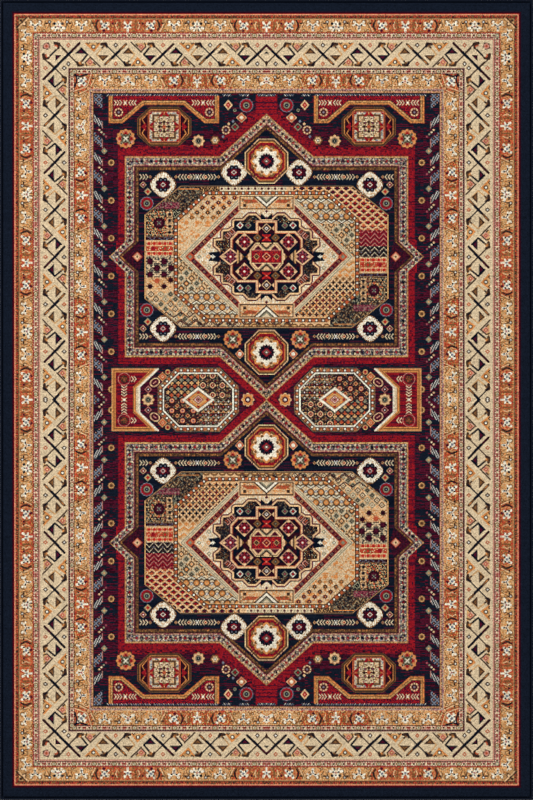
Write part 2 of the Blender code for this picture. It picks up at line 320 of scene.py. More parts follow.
def pronged_flower(pen):
    """A white flower with three prongs, between two rings on dark stems."""
    for half in pen.sides():
        half.line((25, -8, 22, 6, 17, 12), 3, "umber")
        small_ring(half, 26, -12)
        half.line((0, 0, 17, 9), 9, "cream")
        half.line((0, 0, 8, -9), 5, "cream")
    pen.line((0, 0, 0, -12), 9, "cream")
    for x, y in ((0, -6.5), (-8, 4), (8, 4)):
        pen.line((0, 0, x, y), 1.6, "red")
        pen.disc("ink", 2.8, x, y)
    pen.disc("red", 2.2)


def crescent_flower(pen):
    """A cream flower on red, under a dark crescent on the side that x points away from."""
    pen.line((-20, -17, -25, -8, -26, 2, -21, 11), 5, "umber")
    pen.line((-21, -15, -26, -8, -27, 2), 2, "ink")
    pen.line((-18, -13, -20, -3, -17, 7), 2, "tan")
    pen.line((0, 0, -9, -9, -10, -14), 8, "cream")
    pen.line((0, 0, 9, -10, 12, -6), 7, "cream")
    pen.line((0, 0, -8, 7), 7, "cream")
    pen.line((2, 0, 12, 8), 7, "cream")
    pen.disc("cream", 9, 0, -2)
    for x, y in ((-9, -8), (-7, 3), (7, 5), (4, -9)):
        pen.disc("ink", 2.8, x, y)
    pen.disc("blue", 3.8, 0, -2)
    pen.diamond("maroon", 5.5, 5.5, -2, 13)
    pen.line((17, -9, 21, 0, 17, 9), 3, "brown")


def horned_flower(pen):
    """A cream flower on red with two horns and a trunk, between dark upright marks."""
    for half in pen.sides():
        half.line((23, -11, 23, 7), 4.2, "brown")
        half.line((31, -13, 36, -2, 31, 9), 3, "peach")
        half.disc("maroon", 3.4, 45, -8)
        half.line((0, 2, 8, -8, 9, -12), 7, "cream")
        half.line((0, 2, 10, 4), 5, "cream")
        half.disc("umber", 2.5, 7.5, -3)
    pen.line((0, 0, 0, 16), 7, "cream")
    pen.disc("blue", 3.4)


def guard(pen, half, pitch, first, order):
    """A guard band about y = 0: its flowers in their order, with tan and red ground by turns."""
    pen.box(0, -21, half, 23, "tan", peach=0.25, orange=0.25, brown=0.08)
    count = int((half - first) / pitch) + 3
    reds = [k for k in range(count) if order[k % 6] in ("left", "horned", "right")]
    for k in reds:
        x = first + pitch * k
        pen.box(x - pitch / 2, -21, x + pitch / 2, 23, "rust", scarlet=0.2, orange=0.2, brown=0.14,
                tan=0.14)
    for k in range(count):
        x = first + pitch * k
        kind, after = order[k % 6], order[(k + 1) % 6]
        if (k in reds) != (k + 1 in reds):
            slant = -9 if k in reds else 9
            middle = x + pitch / 2
            pen.line((middle - slant, -18, middle + slant, 20), 3.4, "peach")
            pen.line((middle - slant + 4, -18, middle + slant + 4, 20), 2, "brown")
        for side in (-1, 1):
            pen.line((x + side * 31, -16, x + side * 27, -6, x + side * 31, 4), 2.4, "brown")
            pen.line((x + side * 14, 18, x + side * 21, 14, x + side * 29, 18), 2.4, "brown")
            pen.disc("umber", 2.6, x + side * 33, -9)
            pen.disc("peach", 2.2, x + side * 20, 19.5)
        spot = pen.at(x, 0, mirror=kind == "right")
        {"forked": forked_flower, "spiked": spiked_flower, "pronged": pronged_flower,
         "left": crescent_flower, "right": crescent_flower, "horned": horned_flower}[kind](spot)
        pen.mottle(x - 18, -16, x + 18, 16, tan=0.07)


def beads(pen, half, pitch, first):
    """A narrow stripe of oval rings, bars and dots along y = 0 on ivory."""
    pen.box(0, -6.5, half, 6.5, "ivory", pink=0.3)
    pen.box(0, -6.5, half, -4.6, "rose", lambda x, y: x % 7.5 < 5)
    pen.box(0, 4.6, half, 6.5, "rose", lambda x, y: x % 7.5 < 5)
    for k in range(-1, int((half - first) / pitch) + 2):
        spot = pen.at(first + k * pitch, 0)
        spot.petals("brown", 8.6, 2, 0.2)
        spot.petals("ivory", 5.6, 2, 0.2)
        spot.diamond("sage", 4)
        for half in spot.sides():
            half.disc("umber", 3, 15, 0)
        spot.line((pitch / 2 - 3.5, 0, pitch / 2 + 3.5, 0), 5.4, "red")
        spot.line((pitch / 2 - 2, 0, pitch / 2 + 2, 0), 3, "brown")


def crossing(pen, rich):
    """The big crossing of the main border: a thick and a thin bar, two roofs and two small figures.

    The rich one has maroon and navy in its bars and roofs, the other one brown and tan. The whole
    figure is the same when turned by half a turn."""
    tip, leg, leg_width = ("maroon", "ink", 5.4) if rich else ("brown", "tan", 3.8)
    for half in pen.turned(2):
        half.line((-34, -28, -57, 0), leg_width, leg)
        half.line((-57, 0, -38, 19), leg_width, leg)
        half.shape((-53, 2, -38, 20, -20, 3), "umber" if not rich else "ink")
        half.shape((-46, 5, -38, 14, -28, 5), "maroon" if rich else "brown")
        half.line((-43, -31, -30, -33, -26, -24), 8, "umber")
        half.line((-40, -29, -32, -30, -40, -20), 5, "brown" if rich else "umber")
        half.line((-36, -26, -33, -24), 4, "orange" if rich else "brown")
        half.line((0, 0, -31, -31), 3.8, "umber" if rich else "ink")
    pen.line((-31, 29, 31, -31), 7, "umber")
    if rich:
        pen.line((0, 0, 31, -31), 6, "wine")
        pen.line((0, 0, -31, 29), 6, "ink")
        pen.line((8, -8, 24, -24), 3.4, "maroon")
    else:
        pen.line((-30, 28, -16, 15), 4, "brown")
        pen.line((30, -30, 16, -16), 4, "brown")
        pen.line((-27, 26, -22, 21), 2.4, "orange")
        pen.line((27, -27, 22, -22), 2.4, "orange")
    pen.line((-10, 10, 10, -10), 7.4, "ink")
    side = 1 if rich else -1
    pen.diamond("rust", 6.5, 7.5, 0, -28 * side)
    pen.diamond("ivory" if rich else "peach", 3, 3.5, 0, -28 * side)
    pen.diamond("umber", 7.4, 8.4, 0, 28 * side)
    pen.diamond("cream", 3.4, 3.8, 0, 28 * side)


def tan_triangle(pen):
    """A triangle against the border's edge: tan, with a dark ring and two dark hooks."""
    pen.shape((-23, -34, 26, -34, 6, -7), "orange")
    pen.shape((-12, -33, 18, -33, 5, -15), "tan")
    pen.ring("umber", 6.4, 2.8, "cream", 4, -23)
    for x in (-11, 17):
        pen.line((x - 4, -35, x, -31, x + 4, -35), 2.8, "umber")


def pink_triangle(pen):
    """A triangle against the border's edge: a pink square in brown hooks, with a dark line beside it."""
    pen.shape((-10, -34, 26, -34, 7, -9), "tan")
    pen.line((-24, -36, 6, -7), 4.2, "umber")
    pen.line((16, -34, 20, -24, 8, -11), 3.6, "umber")
    pen.line((-10, -30, -4, -24), 4, "umber")
    pen.diamond("pink", 10.5, 10.5, 6, -23)
    pen.diamond("rust", 6.5, 6.5, 6, -23)
    pen.diamond("peach", 3.2, 3.2, 6, -23)


def main_border(pen, half):
    """The ivory main border about y = 0, with the two crossings by turns and triangles between them."""
    pen.box(0, -45, half, 41, "ivory")
    pitch, first = 141.5, 206.7
    for k in range(int((half - first) / pitch) + 2):
        rich = k % 2 == 0
        x = first + k * pitch
        outer, inner = (tan_triangle, pink_triangle) if rich else (pink_triangle, tan_triangle)
        outer(pen.at(x + pitch / 2, 0))
        inner(pen.at(x + pitch / 2, 0, turn=180))
        if k:
            crossing(pen.at(x, 0), rich)
    crossing(pen.at(first, 0).kept_in([(-24, -60), (80, -60), (80, 60), (-12, 60)]), True)


def border_corner(pen):
    """The main border's corner, up to the diagonal: a long bar, a bracket, a pink square and a triangle."""
    pen.line((206, 162.6, 180, 135), 3.8, "umber")
    pen.line((240, 132, 150, 222), 7, "wine")
    pen.line((212, 160, 160, 212), 7.6, "ink")
    pen.line((134, 135, 146, 131, 150, 144), 4, "umber")
    pen.line((166, 132, 178, 134, 176, 146, 166, 150), 9, "umber")
    pen.line((168, 140, 172, 142), 7, "rust")
    pen.line((168, 146, 150, 164), 10, "ivory")
    pen.line((158, 164, 140, 182), 5.2, "ink")
    pen.line((170, 152, 158, 164), 5.2, "ink")
    pen.disc("pink", 8.4, 141, 141)
    pen.diamond("rust", 5, 5, 141, 141)
    pen.shape((167, 167, 186, 168, 168, 186), "ink")
    pen.shape((171, 171, 181, 172, 172, 181), "maroon")


def side_strip(half, guard_pitch, wools, seed):
    """One side's bands from its corner to its middle: x along the side, y in from the rug's edge."""
    cloth = Cloth((0, 0), (half, 285), wools, "navy", seed)
    pen = Pen(cloth)
    pen.box(0, 37.5, half, 43, "wine")
    pen.box(0, 43, half, 45.5, "scarlet")
    pen.box(0, 45.5, half, 48.5, "peach")
    pen.box(0, 48.5, half, 57.5, "rust", brown=0.4, red=0.25, umber=0.25)
    pen.box(0, 56.5, half, 58.5, "umber")
    pen.box(0, 58.5, half, 61, "tan")
    outer = ("forked", "spiked", "forked", "left", "horned", "right")
    inner = ("left", "forked", "pronged", "forked", "right", "horned")
    guard(pen.at(0, 81.5), half, guard_pitch, 107, outer)
    pen.shape((61, 61, 92, 61, 92, 70, 82, 82, 61, 82), "tan")
    pen.mottle(61, 61, 92, 92, brown=0.3)
    pen.ring("umber", 7, 3, "peach", 74, 74)
    pen.line((57, 80, 80, 57), 3, "umber")
    pen.line((57, 86, 86, 57), 3, "peach")
    pen.disc("umber", 4, 64, 64)
    pen.box(96, 99.5, half, 103.5, "rust")
    pen.box(99.5, 100.5, half, 102.6, "red")
    pen.box(103.5, 103.5, half, 116, "ivory")
    beads(pen.at(0, 109), half, 60, 163.5)
    pen.ring("sage", 6, 3, "ivory", 109, 109)
    pen.box(115.5, 115.5, half, 117.6, "umber")
    pen.box(117.6, 117.6, half, 119, "ivory")
    pen.box(118.8, 118.8, half, 121, "red")
    main_border(pen.at(0, 165.9), half)
    border_corner(pen)
    pen.box(206.5, 206.5, half, 210, "maroon")
    beads(pen.at(0, 217), half, 60, 224.4)
    pen.box(0, 223, half, 225, "umber", lambda x, y: (x % 5) > 2)
    guard(pen.at(0, 246), half, guard_pitch, 246, inner)
    pen.box(223, 268.5, half, 275.5, "peach", rose=0.3)
    pen.box(223, 270.5, half, 273, "blue", lambda x, y: (x % 7.5) > 3)
    pen.box(223, 273, half, 275.5, "umber", lambda x, y: (x % 7.5) < 3.6)
    pen.line((226, 262, 232, 240, 228, 226), 5, "ink")
    pen.line((262, 226, 240, 232, 226, 228), 5, "ink")
    pen.line((225, 275, 262, 262, 275, 225), 3, "peach")
    pen.box(223, 275.5, half, 281, "pink", brown=0.3, tan=0.4)
    pen.box(223, 281, half, 285, "umber")
    return cloth.colours


def border(wools, half_width, half_length):
    """The far left quarter's borders, from the corner: the nearer side's strip gives each colour."""
    short = side_strip(half_width, 69.3, wools, 11)
    long = side_strip(half_length, 68.3, wools, 12)
    rows, columns = int(round(half_length / SAMPLE)), int(round(half_width / SAMPLE))
    down, across = np.meshgrid(np.arange(rows), np.arange(columns), indexing="ij")
    depth = np.minimum(np.minimum(down, across), short.shape[0] - 1)
    quarter = np.where((across < down)[..., None],
                       long[depth, np.clip(down, 0, long.shape[1] - 1)],
                       short[depth, np.clip(across, 0, short.shape[1] - 1)])
    return quarter


# Field. The far half is drawn about the rug's centre: x outward from the middle line, y to the far end.

def inset(points, depth):
    """An outline moved inward by a depth with mitred corners, which shift along both edges' normals."""
    corners = np.array(points, float)
    edges = np.roll(corners, -1, 0) - corners
    edges /= np.hypot(*edges.T)[:, None]
    area = np.cross(corners, np.roll(corners, -1, 0)).sum()
    after = np.stack((-edges[:, 1], edges[:, 0]), 1) * np.sign(area)
    before = np.roll(after, 1, 0)
    shift = (before + after) / (1 + (before * after).sum(1))[:, None]
    return [tuple(p) for p in corners + shift * depth]


def nest(pen, points, widths, centre):
    """Fills an outline with bands of wool from its edge inwards, then its centre."""
    depth = 0
    for width, wool in widths:
        pen.shape(inset(points, depth) if depth else points, wool)
        depth += width
    pen.shape(inset(points, depth), centre)


def along(points, pitch, depth, closed=True):
    """Places and directions at a pitch along an outline moved inward by a depth."""
    corners = np.array(inset(points, depth) if closed else points, float)
    ends = np.roll(corners, -1, 0) if closed else corners[1:]
    for start, end in zip(corners, ends):
        step = end - start
        count = max(1, int(round(np.hypot(*step) / pitch)))
        for k in range(count):
            x, y = start + step * (k + 0.5) / count
            yield k, x, y, np.degrees(np.arctan2(step[1], step[0]))


def staggered(low, high, dx, dy):
    """Rows of places in a box, every second row moved by half a pitch."""
    for j, y in enumerate(np.arange(low[1], high[1], dy)):
        for i, x in enumerate(np.arange(low[0] + (j % 2) * dx / 2, high[0], dx)):
            yield i, j, x, y


def chevrons(pen, places, way):
    """A row of chevrons along x, opening away from the way they point."""
    for x in places:
        pen.line((x - 3.4 * way, 7.5, x + 2.6 * way, 0, x - 3.4 * way, -7.5), 2.7, "ivory")


def chevron_cross(pen, count=3):
    """Chevrons from both sides that meet in a small cross."""
    for side in (-1, 1):
        chevrons(pen, [side * (13 + 8.2 * k) for k in range(count)], -side)
        pen.line((side * -5, side * 7, side * 5, side * -7), 3, "peach")
        pen.line((side * 5, side * 7, side * -5, side * -7), 3, "peach")
    pen.disc("cream", 4)


def broken_ring(pen, radius):
    """A peach ring in four pieces about a maroon ring with a grey centre."""
    pen.disc("maroon", radius)
    pen.disc("peach", radius, inner=radius * 0.66)
    for turn in (20, 70, 110, 160):
        spoke = pen.at(0, 0, turn=turn)
        spoke.line((-radius, 0, -radius * 0.66, 0), 1.8, "maroon")
        spoke.line((radius, 0, radius * 0.66, 0), 1.8, "maroon")
    pen.ring("umber", radius * 0.46, radius * 0.2, "rose")
    pen.disc("blue", radius * 0.2)


def sun_flower(pen, radius):
    """An orange flower with twelve petals, red wedges, a grey ring and a white cross."""
    r = radius / 31
    pen.petals("brown", 30 * r, 12, 0.12)
    pen.petals("orange", 28.5 * r, 12, 0.12)
    pen.mottle(-28 * r, -28 * r, 28 * r, 28 * r, rule=lambda x, y: np.hypot(x, y) < 26 * r, pink=0.3)
    pen.petals("brown", 18 * r, 8, 0.1, turn=22.5)
    for arm in pen.turned(4):
        arm.shape((13 * r, -7 * r, 25 * r, -3 * r, 21 * r, 0, 25 * r, 3 * r, 13 * r, 7 * r), "rust")
        arm.disc("red", 4 * r, 16 * r, 0)
        arm.diamond("sage", 5 * r, 5 * r, 13 * r, 13 * r)
        arm.disc("umber", 2.4 * r, 14 * r, 14 * r)
    pen.petals("umber", 14.5 * r, 4, 0.1, turn=45)
    pen.petals("sage", 13 * r, 8, 0.25)
    for arm in pen.turned(4):
        arm.disc("umber", 2.8 * r, 8 * r, 0)
    pen.line((-5 * r, 5 * r, 5 * r, -5 * r), 2.4 * r, "cream")
    pen.line((-5 * r, -5 * r, 5 * r, 5 * r), 2.4 * r, "cream")


def snow_flower(pen):
    """A cream four-cornered flower with a frayed edge, eight dark petals, a red heart and a cream eye."""
    pen.petals("brown", 39.5, 4, 0.15)
    for k in range(28):
        pen.at(0, 0, turn=k * 360 / 28).line((25, 0, 34 - (k % 7 in (2, 3, 4, 5)), 0), 3.4, "cream")
    pen.petals("cream", 37.5, 4, 0.17)
    rim = lambda x, y: abs(np.hypot(x, y) * (1.08 - 0.09 * np.cos(4 * np.arctan2(y, x))) - 37) < 3
    pen.mottle(-40, -40, 40, 40, rule=rim, brown=0.3)
    pen.mottle(-40, -40, 40, 40, rule=lambda x, y: abs(np.hypot(x, y) - 26) < 6, tan=0.2)
    for k in range(8):
        petal = pen.at(0, 0, turn=22.5 + 45 * k)
        upright = k % 4 in (1, 2)
        petal.petals("ink" if upright else "wine", 8.4, 2, 0.15, 15, 0)
        petal.line((6, 0, 14, 0), 6, "ink" if upright else "wine")
        petal.disc("blue" if upright else "maroon", 2, 15.5, 0)
    pen.petals("red", 11, 8, 0.2)
    pen.box(-7, -7, 7, 7, "maroon")
    pen.diamond("cream", 8, 7)
    pen.diamond("maroon", 5.5, 4.6)


def peach_flower(pen, radius):
    """A small peach flower with eight petals, a grey ring and a dark eye."""
    pen.petals("tan", radius, 8, 0.2)
    pen.petals("peach", radius * 0.86, 8, 0.2)
    pen.disc("brown", radius * 0.52)
    pen.disc("sage", radius * 0.44)
    pen.disc("ink", radius * 0.32)
    pen.disc("sage", radius * 0.12)


def red_wheel(pen, radius=21):
    """A red disc with a grey rim, a dark ring, a grey ring and a dark eye."""
    pen.petals("blue", radius, 12, 0.05)
    pen.petals("red", radius * 0.9, 12, 0.05)
    pen.disc("umber", radius * 0.58)
    pen.disc("red", radius * 0.5)
    pen.disc("sage", radius * 0.46)
    pen.disc("ink", radius * 0.28)
    pen.disc("blue", radius * 0.1)


def nested_diamond(pen, radius, wools, tall=1.0):
    """Diamonds inside each other, each a step smaller, one for each wool."""
    for k, wool in enumerate(wools):
        size = radius * (1 - k / len(wools))
        pen.diamond(wool, size, size * tall)


def star_wheel(pen):
    """The big octagon on the middle line: a cream star shaded with tan on red, and a dark heart."""
    outline = octagon(65, 67, 41, 41)
    nest(pen, outline, [(3, "peach"), (2.6, "umber"), (3.4, "brown"), (2.4, "orange")], "red")
    pen.kept_in(outline).mottle(-50, -50, 50, 50, maroon=0.35)
    pen.petals("brown", 50, 8, 0.18, turn=22.5)
    pen.petals("orange", 48, 8, 0.18)
    pen.petals("peach", 43, 16, 0.14)
    for spot in pen.turned(8, 22.5):
        spot.disc("brown", 4.4, 35, 0)
    pen.petals("cream", 41, 8, 0.3)
    pen.petals("cream", 32, 16, 0.1)
    pen.petals("maroon", 24.5, 16, 0.16)
    for petal in pen.turned(8):
        petal.petals("ink", 6.5, 5, 0.2, 17, 0)
        petal.disc("ink", 5, 11, 0)
    for size, wool in ((15, "red"), (11, "maroon"), (9.4, "pink"), (7.5, "umber"), (4, "cream")):
        pen.diamond(wool, size, size * 0.92)


# The medallions' place from the rug's middle, and how far a frame's side tips, its ends and its box reach.
MEDALLION_Y = 428.35
FRAME_TIP, FRAME_END = 472, 428.35
FRAME_BOX = -472, -430, 472, 430


def frame_depth(x, y, grow=0):
    """How deep a place lies in a medallion's frame: the deeper of its depths in a box and a rhombus.

    Both have mitred corners, so their union keeps the frame's notches sharp. In the side tips the bands are
    narrower, so the depth there counts 1.6 times, and 1.24 times in the slanted ends. grow moves
    the outline outwards."""
    box = np.minimum(424.5 - abs(x), 300.5 - abs(y))
    rhombus = (1 - abs(x) / FRAME_TIP - abs(y) / FRAME_END) / np.hypot(1 / FRAME_TIP, 1 / FRAME_END)
    rhombus = np.where((rhombus > 0) & (abs(x) > 330) & (abs(y) < 100), rhombus * 1.6, rhombus)
    rhombus = np.where((rhombus > 0) & (abs(x) < 200) & (abs(y) > 258), rhombus * 1.24, rhombus)
    return np.maximum(box, rhombus) + grow


FRAME_OUTLINE = [(0, 428), (140.5, 300.5), (424.5, 300.5), (424.5, 46), (470, 0)]


def mirrored_outline(quarter):
    """A closed outline from its first quarter, which runs from the y axis to the x axis."""
    right = quarter + [(x, -y) for x, y in quarter[::-1] if y]
    left = [(-x, y) for x, y in right[::-1] if x]
    return right + left


def medallion_frame(pen):
    """The flowered band round a medallion: a tan line, small flowers on grey, and lines inside them."""
    outline = mirrored_outline(FRAME_OUTLINE)
    lines = [(0, 4.6, "tan"), (4.6, 25, "blue"), (25, 28, "peach"), (28, 31.5, "maroon"),
             (31.5, 35, "umber"), (35, 40.6, "brown"), (40.6, 42, "umber")]
    for start, end, wool in lines:
        stripe = lambda x, y: (frame_depth(x, y) >= start) & (frame_depth(x, y) < end)
        pen.paint(FRAME_BOX[:2], FRAME_BOX[2:], stripe, wool)
    slanted = lambda x, y: (frame_depth(x, y) > 4.6) & (frame_depth(x, y) < 25) & (abs(y) > 301)
    pen.paint(FRAME_BOX[:2], FRAME_BOX[2:], slanted, "tan")
    band = lambda x, y: (frame_depth(x, y) > 4.6) & (frame_depth(x, y) < 25)
    pen.mottle(*FRAME_BOX, rule=band, sage=0.25, umber=0.35, ink=0.15, maroon=0.14, cream=0.08)
    pen.mottle(*FRAME_BOX, rule=slanted, tan=0.45)
    for start, end, wool, share in ((0, 4.6, "brown", 0.25), (25, 28, "rose", 0.4), (31.5, 35, "brown", 0.25),
                                    (35, 40.6, "umber", 0.5), (35, 40.6, "orange", 0.15)):
        line = lambda x, y: (frame_depth(x, y) > start) & (frame_depth(x, y) < end)
        pen.mottle(*FRAME_BOX, rule=line, **{wool: share})
    for k, x, y, turn in along(outline, 14.3, 14.5):
        if abs(x) > 413:
            x, y = x + 3.4 * np.sign(x), y + 3.7 * np.sign(y)
        elif abs(y) > 302:
            x, y = x + 1.9 * np.sign(x), y + 2.1 * np.sign(y)
        flower = pen.at(x, y, turn=turn)
        for side in (-1, 1):
            flower.line((side * 5, -7, side * 8, -2.6), 2.6, "ivory")
            flower.line((side * 5, 7, side * 8, 2.6), 2.6, "ivory")
            flower.line((0, side * 8, side * 2, side * 6), 2.4, "blue")
        flower.disc(("ink", "red")[k % 2], 4.4)
        flower.disc("umber", 1.8, 7.2, 0)
    for wool in ("sage", "umber", "ink", "rose", "ivory"):
        pen.mottle(*FRAME_BOX, rule=band, **{wool: 0.08})


def ringed_net(pen, points):
    """Small grey diamonds with dark rings and pink eyes in staggered rows on dark wool."""
    low, high = np.min(points, 0), np.max(points, 0)
    pen.shape(points, "ink")
    for i, j, x, y in staggered(low, high + 9, 19, 9.5):
        for size, wool in ((9.5, "blue"), (6.6, "ink"), (2.4, "pink")):
            pen.diamond(wool, size, size, x, y)


def side_hatching(pen):
    """The column of slanted striped and netted blocks along the field's long side, and its small figures."""
    for k in range(9):
        for y, height, striped in ((856 - 112.4 * k, 20, True), (805 - 112.4 * k, 28, False)):
            block = [(519, y), (492, y - 23), (492, y - 23 - height), (519, y - height)]
            pen.shape(block, "ink" if striped else "maroon")
            if striped:
                pen.shape(block, "blue", lambda a, b: ((2 * a - b) / 2.2) % 6.2 < 3)
                pen.shape(block, "cream", lambda a, b: ((2 * a - b) / 2.2) % 6.2 < 1.5)
            else:
                ringed_net(pen.kept_in(block), block)
            pen.line((492, y - 25, 492, y - 23 - height), 2, "pink")
        for step, wool in enumerate(("peach", "ivory", "sage", "rose")):
            pen.disc(wool, 3.2, 501 - 6.8 * step, 808 - 6.6 * step - 112.4 * k)
        star = pen.at(486, 745 - 112.9 * k)
        star.box(-5.4, -5.4, 5.4, 5.4, "sage")
        star.diamond("sage", 10)
        star.diamond("tan", 4)
        wheel = pen.at(465, 710 - 113.2 * k)
        wheel.petals("brown", 10.5, 8, 0.1)
        wheel.petals("tan", 9, 8, 0.1)
        wheel.disc("brown", 6)
        wheel.disc("umber", 2.2)
    corner = [(519, 915), (492, 915), (492, 871), (519, 893)]
    ringed_net(pen.kept_in(corner), corner)
    for start, end in ((145, 480), (106, 132), (52, 82), (0, 27)):
        pen.box(start, 908, end, 917, "ink")
        pen.box(start, 909, end, 916, "blue", lambda a, b: ((a + b) % 7 < 3.4) & (a % 34 > 3))
        pen.box(start, 909, end, 913, "cream", lambda a, b: (a + b) % 14 < 3)


def corner_panel(pen):
    """A corner's gold outline round red, with chevrons and rings, and the octagon that fits under it."""
    outline = [(473, 925), (473, 828), (431, 828), (367, 883), (249, 883), (185, 828), (142, 828),
               (142, 925)]
    far_end = [(140, 911), (475, 911), (475, 820), (140, 820)]
    panel = pen.kept_in(far_end)
    nest(panel, outline, [(1.4, "rust"), (4.2, "orange"), (2, "brown"), (4, "tan"), (2.4, "umber")], "red")
    band = panel.kept_in(outline)
    edges = lambda x, y: reach(outline, x, y) < 13
    band.mottle(142, 828, 473, 911, rule=edges, brown=0.2, orange=0.2)
    panel.kept_in(inset(outline, 14)).mottle(150, 840, 465, 912, maroon=0.42)
    for x in (423, 190):
        chevron_cross(pen.at(x, 889.5))
    for x in (443, 171):
        broken_ring(pen.at(x, 861), 13)
    badge = pen.at(306.6, 817.8)
    outline = octagon(81, 58.5, 37, 34)
    nest(badge, outline, [(1.6, "brown"), (3.4, "umber"), (2.4, "brown"), (2, "orange")], "umber")
    for side in (-1, 1):
        wing = badge.at(0, 0, mirror=side < 0)
        wing.shape((50, 44, 72, 20, 72, -20, 50, -44), "wine")
        wing.line((50, 40, 66, 22, 54, 2, 66, -20, 50, -40), 2.6, "orange")
        wing.shape((69, 0, 54, 13, 54, -13), "red")
        wing.line((48, 44, 48, -44), 3, "rust")
    badge.box(-46, -46, 46, 46, "rust")
    badge.box(-43, -44, 43, 44, "ivory", blue=0.3)
    badge.box(-36, -37, 36, 37, "brown")
    badge.box(-33, -34, 33, 34, "umber")
    badge.box(-30, -31, 30, 31, "ivory", tan=0.4)
    star_leaf(badge, 36, "brown")
    star_leaf(badge, 31, "ivory")
    for arm in badge.turned(4):
        arm.box(-8, 35, 8, 45, "rust")
        arm.shape((-7, 45, 7, 45, 0, 39), "tan")
        for half in arm.sides():
            half.shape((0, 46, 9, 41, 19, 25, 9, 28, 3, 36), "red")
            half.box(17, 40, 20, 37, "ink")
            half.disc("red", 3, 39.5, 41)
            half.shape((3, 30, 14, 30, 14, 19, 6, 19), "ivory")
            half.line((14, 30, 14, 20), 1.6, "umber")
            half.disc("maroon", 2.2, 9, 24)
    badge.disc("ivory", 20)
    badge.mottle(-22, -22, 22, 22, brown=0.15)
    for x in (-11, 11):
        for y in (-11, 11):
            badge.box(x - 4, y - 4, x + 4, y + 4, "ink")
            badge.box(x - 2, y - 2, x + 2, y + 2, "rose")
    for x, y in ((14, 0), (-14, 0), (0, 14), (0, -14)):
        badge.diamond("brown", 7, 7, x, y)
        badge.diamond("ink", 4, 4, x, y)
        badge.disc("maroon", 2.6, x * 0.5, y * 0.5)
    badge.line((-8, -8, 8, 8), 2.6, "tan")
    badge.line((-8, 8, 8, -8), 2.6, "tan")
    nested_diamond(badge, 7, ("red", "orange", "red"))


def corner_flowers(pen):
    """The small figures between the corner panel and the red middle column."""
    sun_flower(pen.at(421.8, 782), 31)
    peach_flower(pen.at(204, 775), 19)
    spot = pen.at(154, 777)
    spot.petals("brown", 14, 6, 0.15)
    spot.petals("peach", 10, 6, 0.2)
    spot.diamond("sage", 6, 7)
    spot.disc("cream", 2.6)
    broken_ring(pen.at(121.5, 808), 13)
    nested_diamond(pen.at(94, 817), 12.5, ("sage", "umber", "red"))
    spot = pen.at(75, 845)
    spot.diamond("peach", 16, 15.5)
    spot.diamond("rust", 13, 12.5)
    spot.ring("peach", 6.4, 2, "cream")
    pen.petals("sage", 5.4, 6, 0.15, 95, 867)
    pen.disc("umber", 2.2, 95, 867)
    nested_diamond(pen.at(114.6, 882.6), 13.5, ("peach", "peach", "red", "scarlet", "pink"), 1.2)
    red_wheel(pen.at(60.3, 881.7))
    for x, y, wool in ((100, 834, "blue"), (113, 826, "peach"), (130, 788, "blue")):
        pen.diamond(wool, 4.6, 5.6, x, y)


def frame_figures(pen):
    """The figures in one quarter of a medallion's frame, which all four quarters share."""
    snow_flower(pen.at(310, 215.5))
    chevrons(pen.at(0, 239), (376, 367, 358), -1)
    nested_diamond(pen.at(348, 239), 5, ("tan", "maroon"))
    row = pen.at(207.5, 239)
    for side in (-1, 1):
        chevrons(row, [side * x for x in (36, 45, 54)], side)
        chevrons(row, [side * x for x in (9, 17.5)], -side)
    row.line((-4, 6, 4, -6), 2.6, "cream")
    row.line((-4, -6, 4, 6), 2.6, "cream")
    for x in (-25, 25):
        nested_diamond(row.at(x, 0), 6.6, ("peach", "red"))
    for x in (-64, 64):
        nested_diamond(row.at(x, 0), 5, ("tan", "maroon"))
    nested_diamond(pen.at(369.5, 215.5), 10.5, ("peach", "maroon", "red", "cream"))
    nested_diamond(pen.at(355.5, 195), 12, ("sage", "tan", "red", "scarlet"))
    red_wheel(pen.at(358.5, 159.6), 20.5)


def medallion_figures(pen):
    """The figures inside the frame of the far medallion, whose far and near ends differ."""
    for side in (-1, 1):
        for end in (-1, 1):
            frame_figures(pen.flipped(side, end))
        right = pen.at(0, 0, mirror=side < 0)
        snow_flower(right.at(97.5, 252.5))
        sun_flower(right.at(101, -247.5), 30)
        spot = right.at(80, -291.5)
        spot.diamond("peach", 14, 15)
        spot.diamond("rust", 12, 12.5)
        spot.disc("cream", 6)
        tip = right.at(387, 0)
        tip.diamond("rust", 15.5)
        tip.diamond("pink", 12.5)
        tip.diamond("peach", 9)
        tip.diamond("umber", 3, 3.6)
    star_wheel(pen.at(0, 286))
    star_wheel(pen.at(0, -286.5))


def trefoil(pen, wool, size=1.0):
    """A small three-leaved sprig."""
    pen.line((-4 * size, 0, 4 * size, 0), 3.4 * size, wool)
    pen.line((0, 4.4 * size, 0, -4 * size), 3.2 * size, wool)


def star_leaf(pen, radius, wool):
    """A flower with eight short points: four diamonds, crossed two and two."""
    for turn, long in ((0, radius), (45, radius * 0.9)):
        spot = pen.at(0, 0, turn=turn)
        spot.diamond(wool, long, radius * 0.42)
        spot.diamond(wool, radius * 0.42, long)


def net(pen, points, pitch, width, wool, slope=1.0):
    """A net of slanted lines both ways in an outline."""
    run = pitch / np.hypot(1, slope)
    line = lambda x, y: ((y + slope * x) / slope) % (run * 2) < width
    pen.shape(points, wool, lambda x, y: line(-x, y) | line(x, y))


def zigzag(pen, points, period, height, rows, rise):
    """Zigzag stripes stacked along y in an outline, with a wool for each."""
    for k, wool in enumerate(rows):
        def rule(x, y, base=k * height):
            wave = (y - rise * abs((x % period) / period - 0.5) * 2) % (height * len(rows))
            return (wave >= base) & (wave < base + height)
        pen.shape(points, wool, rule)


def box_points(x0, y0, x1, y1):
    """A box's outline from two opposite corners."""
    return [(x0, y0), (x1, y0), (x1, y1), (x0, y1)]


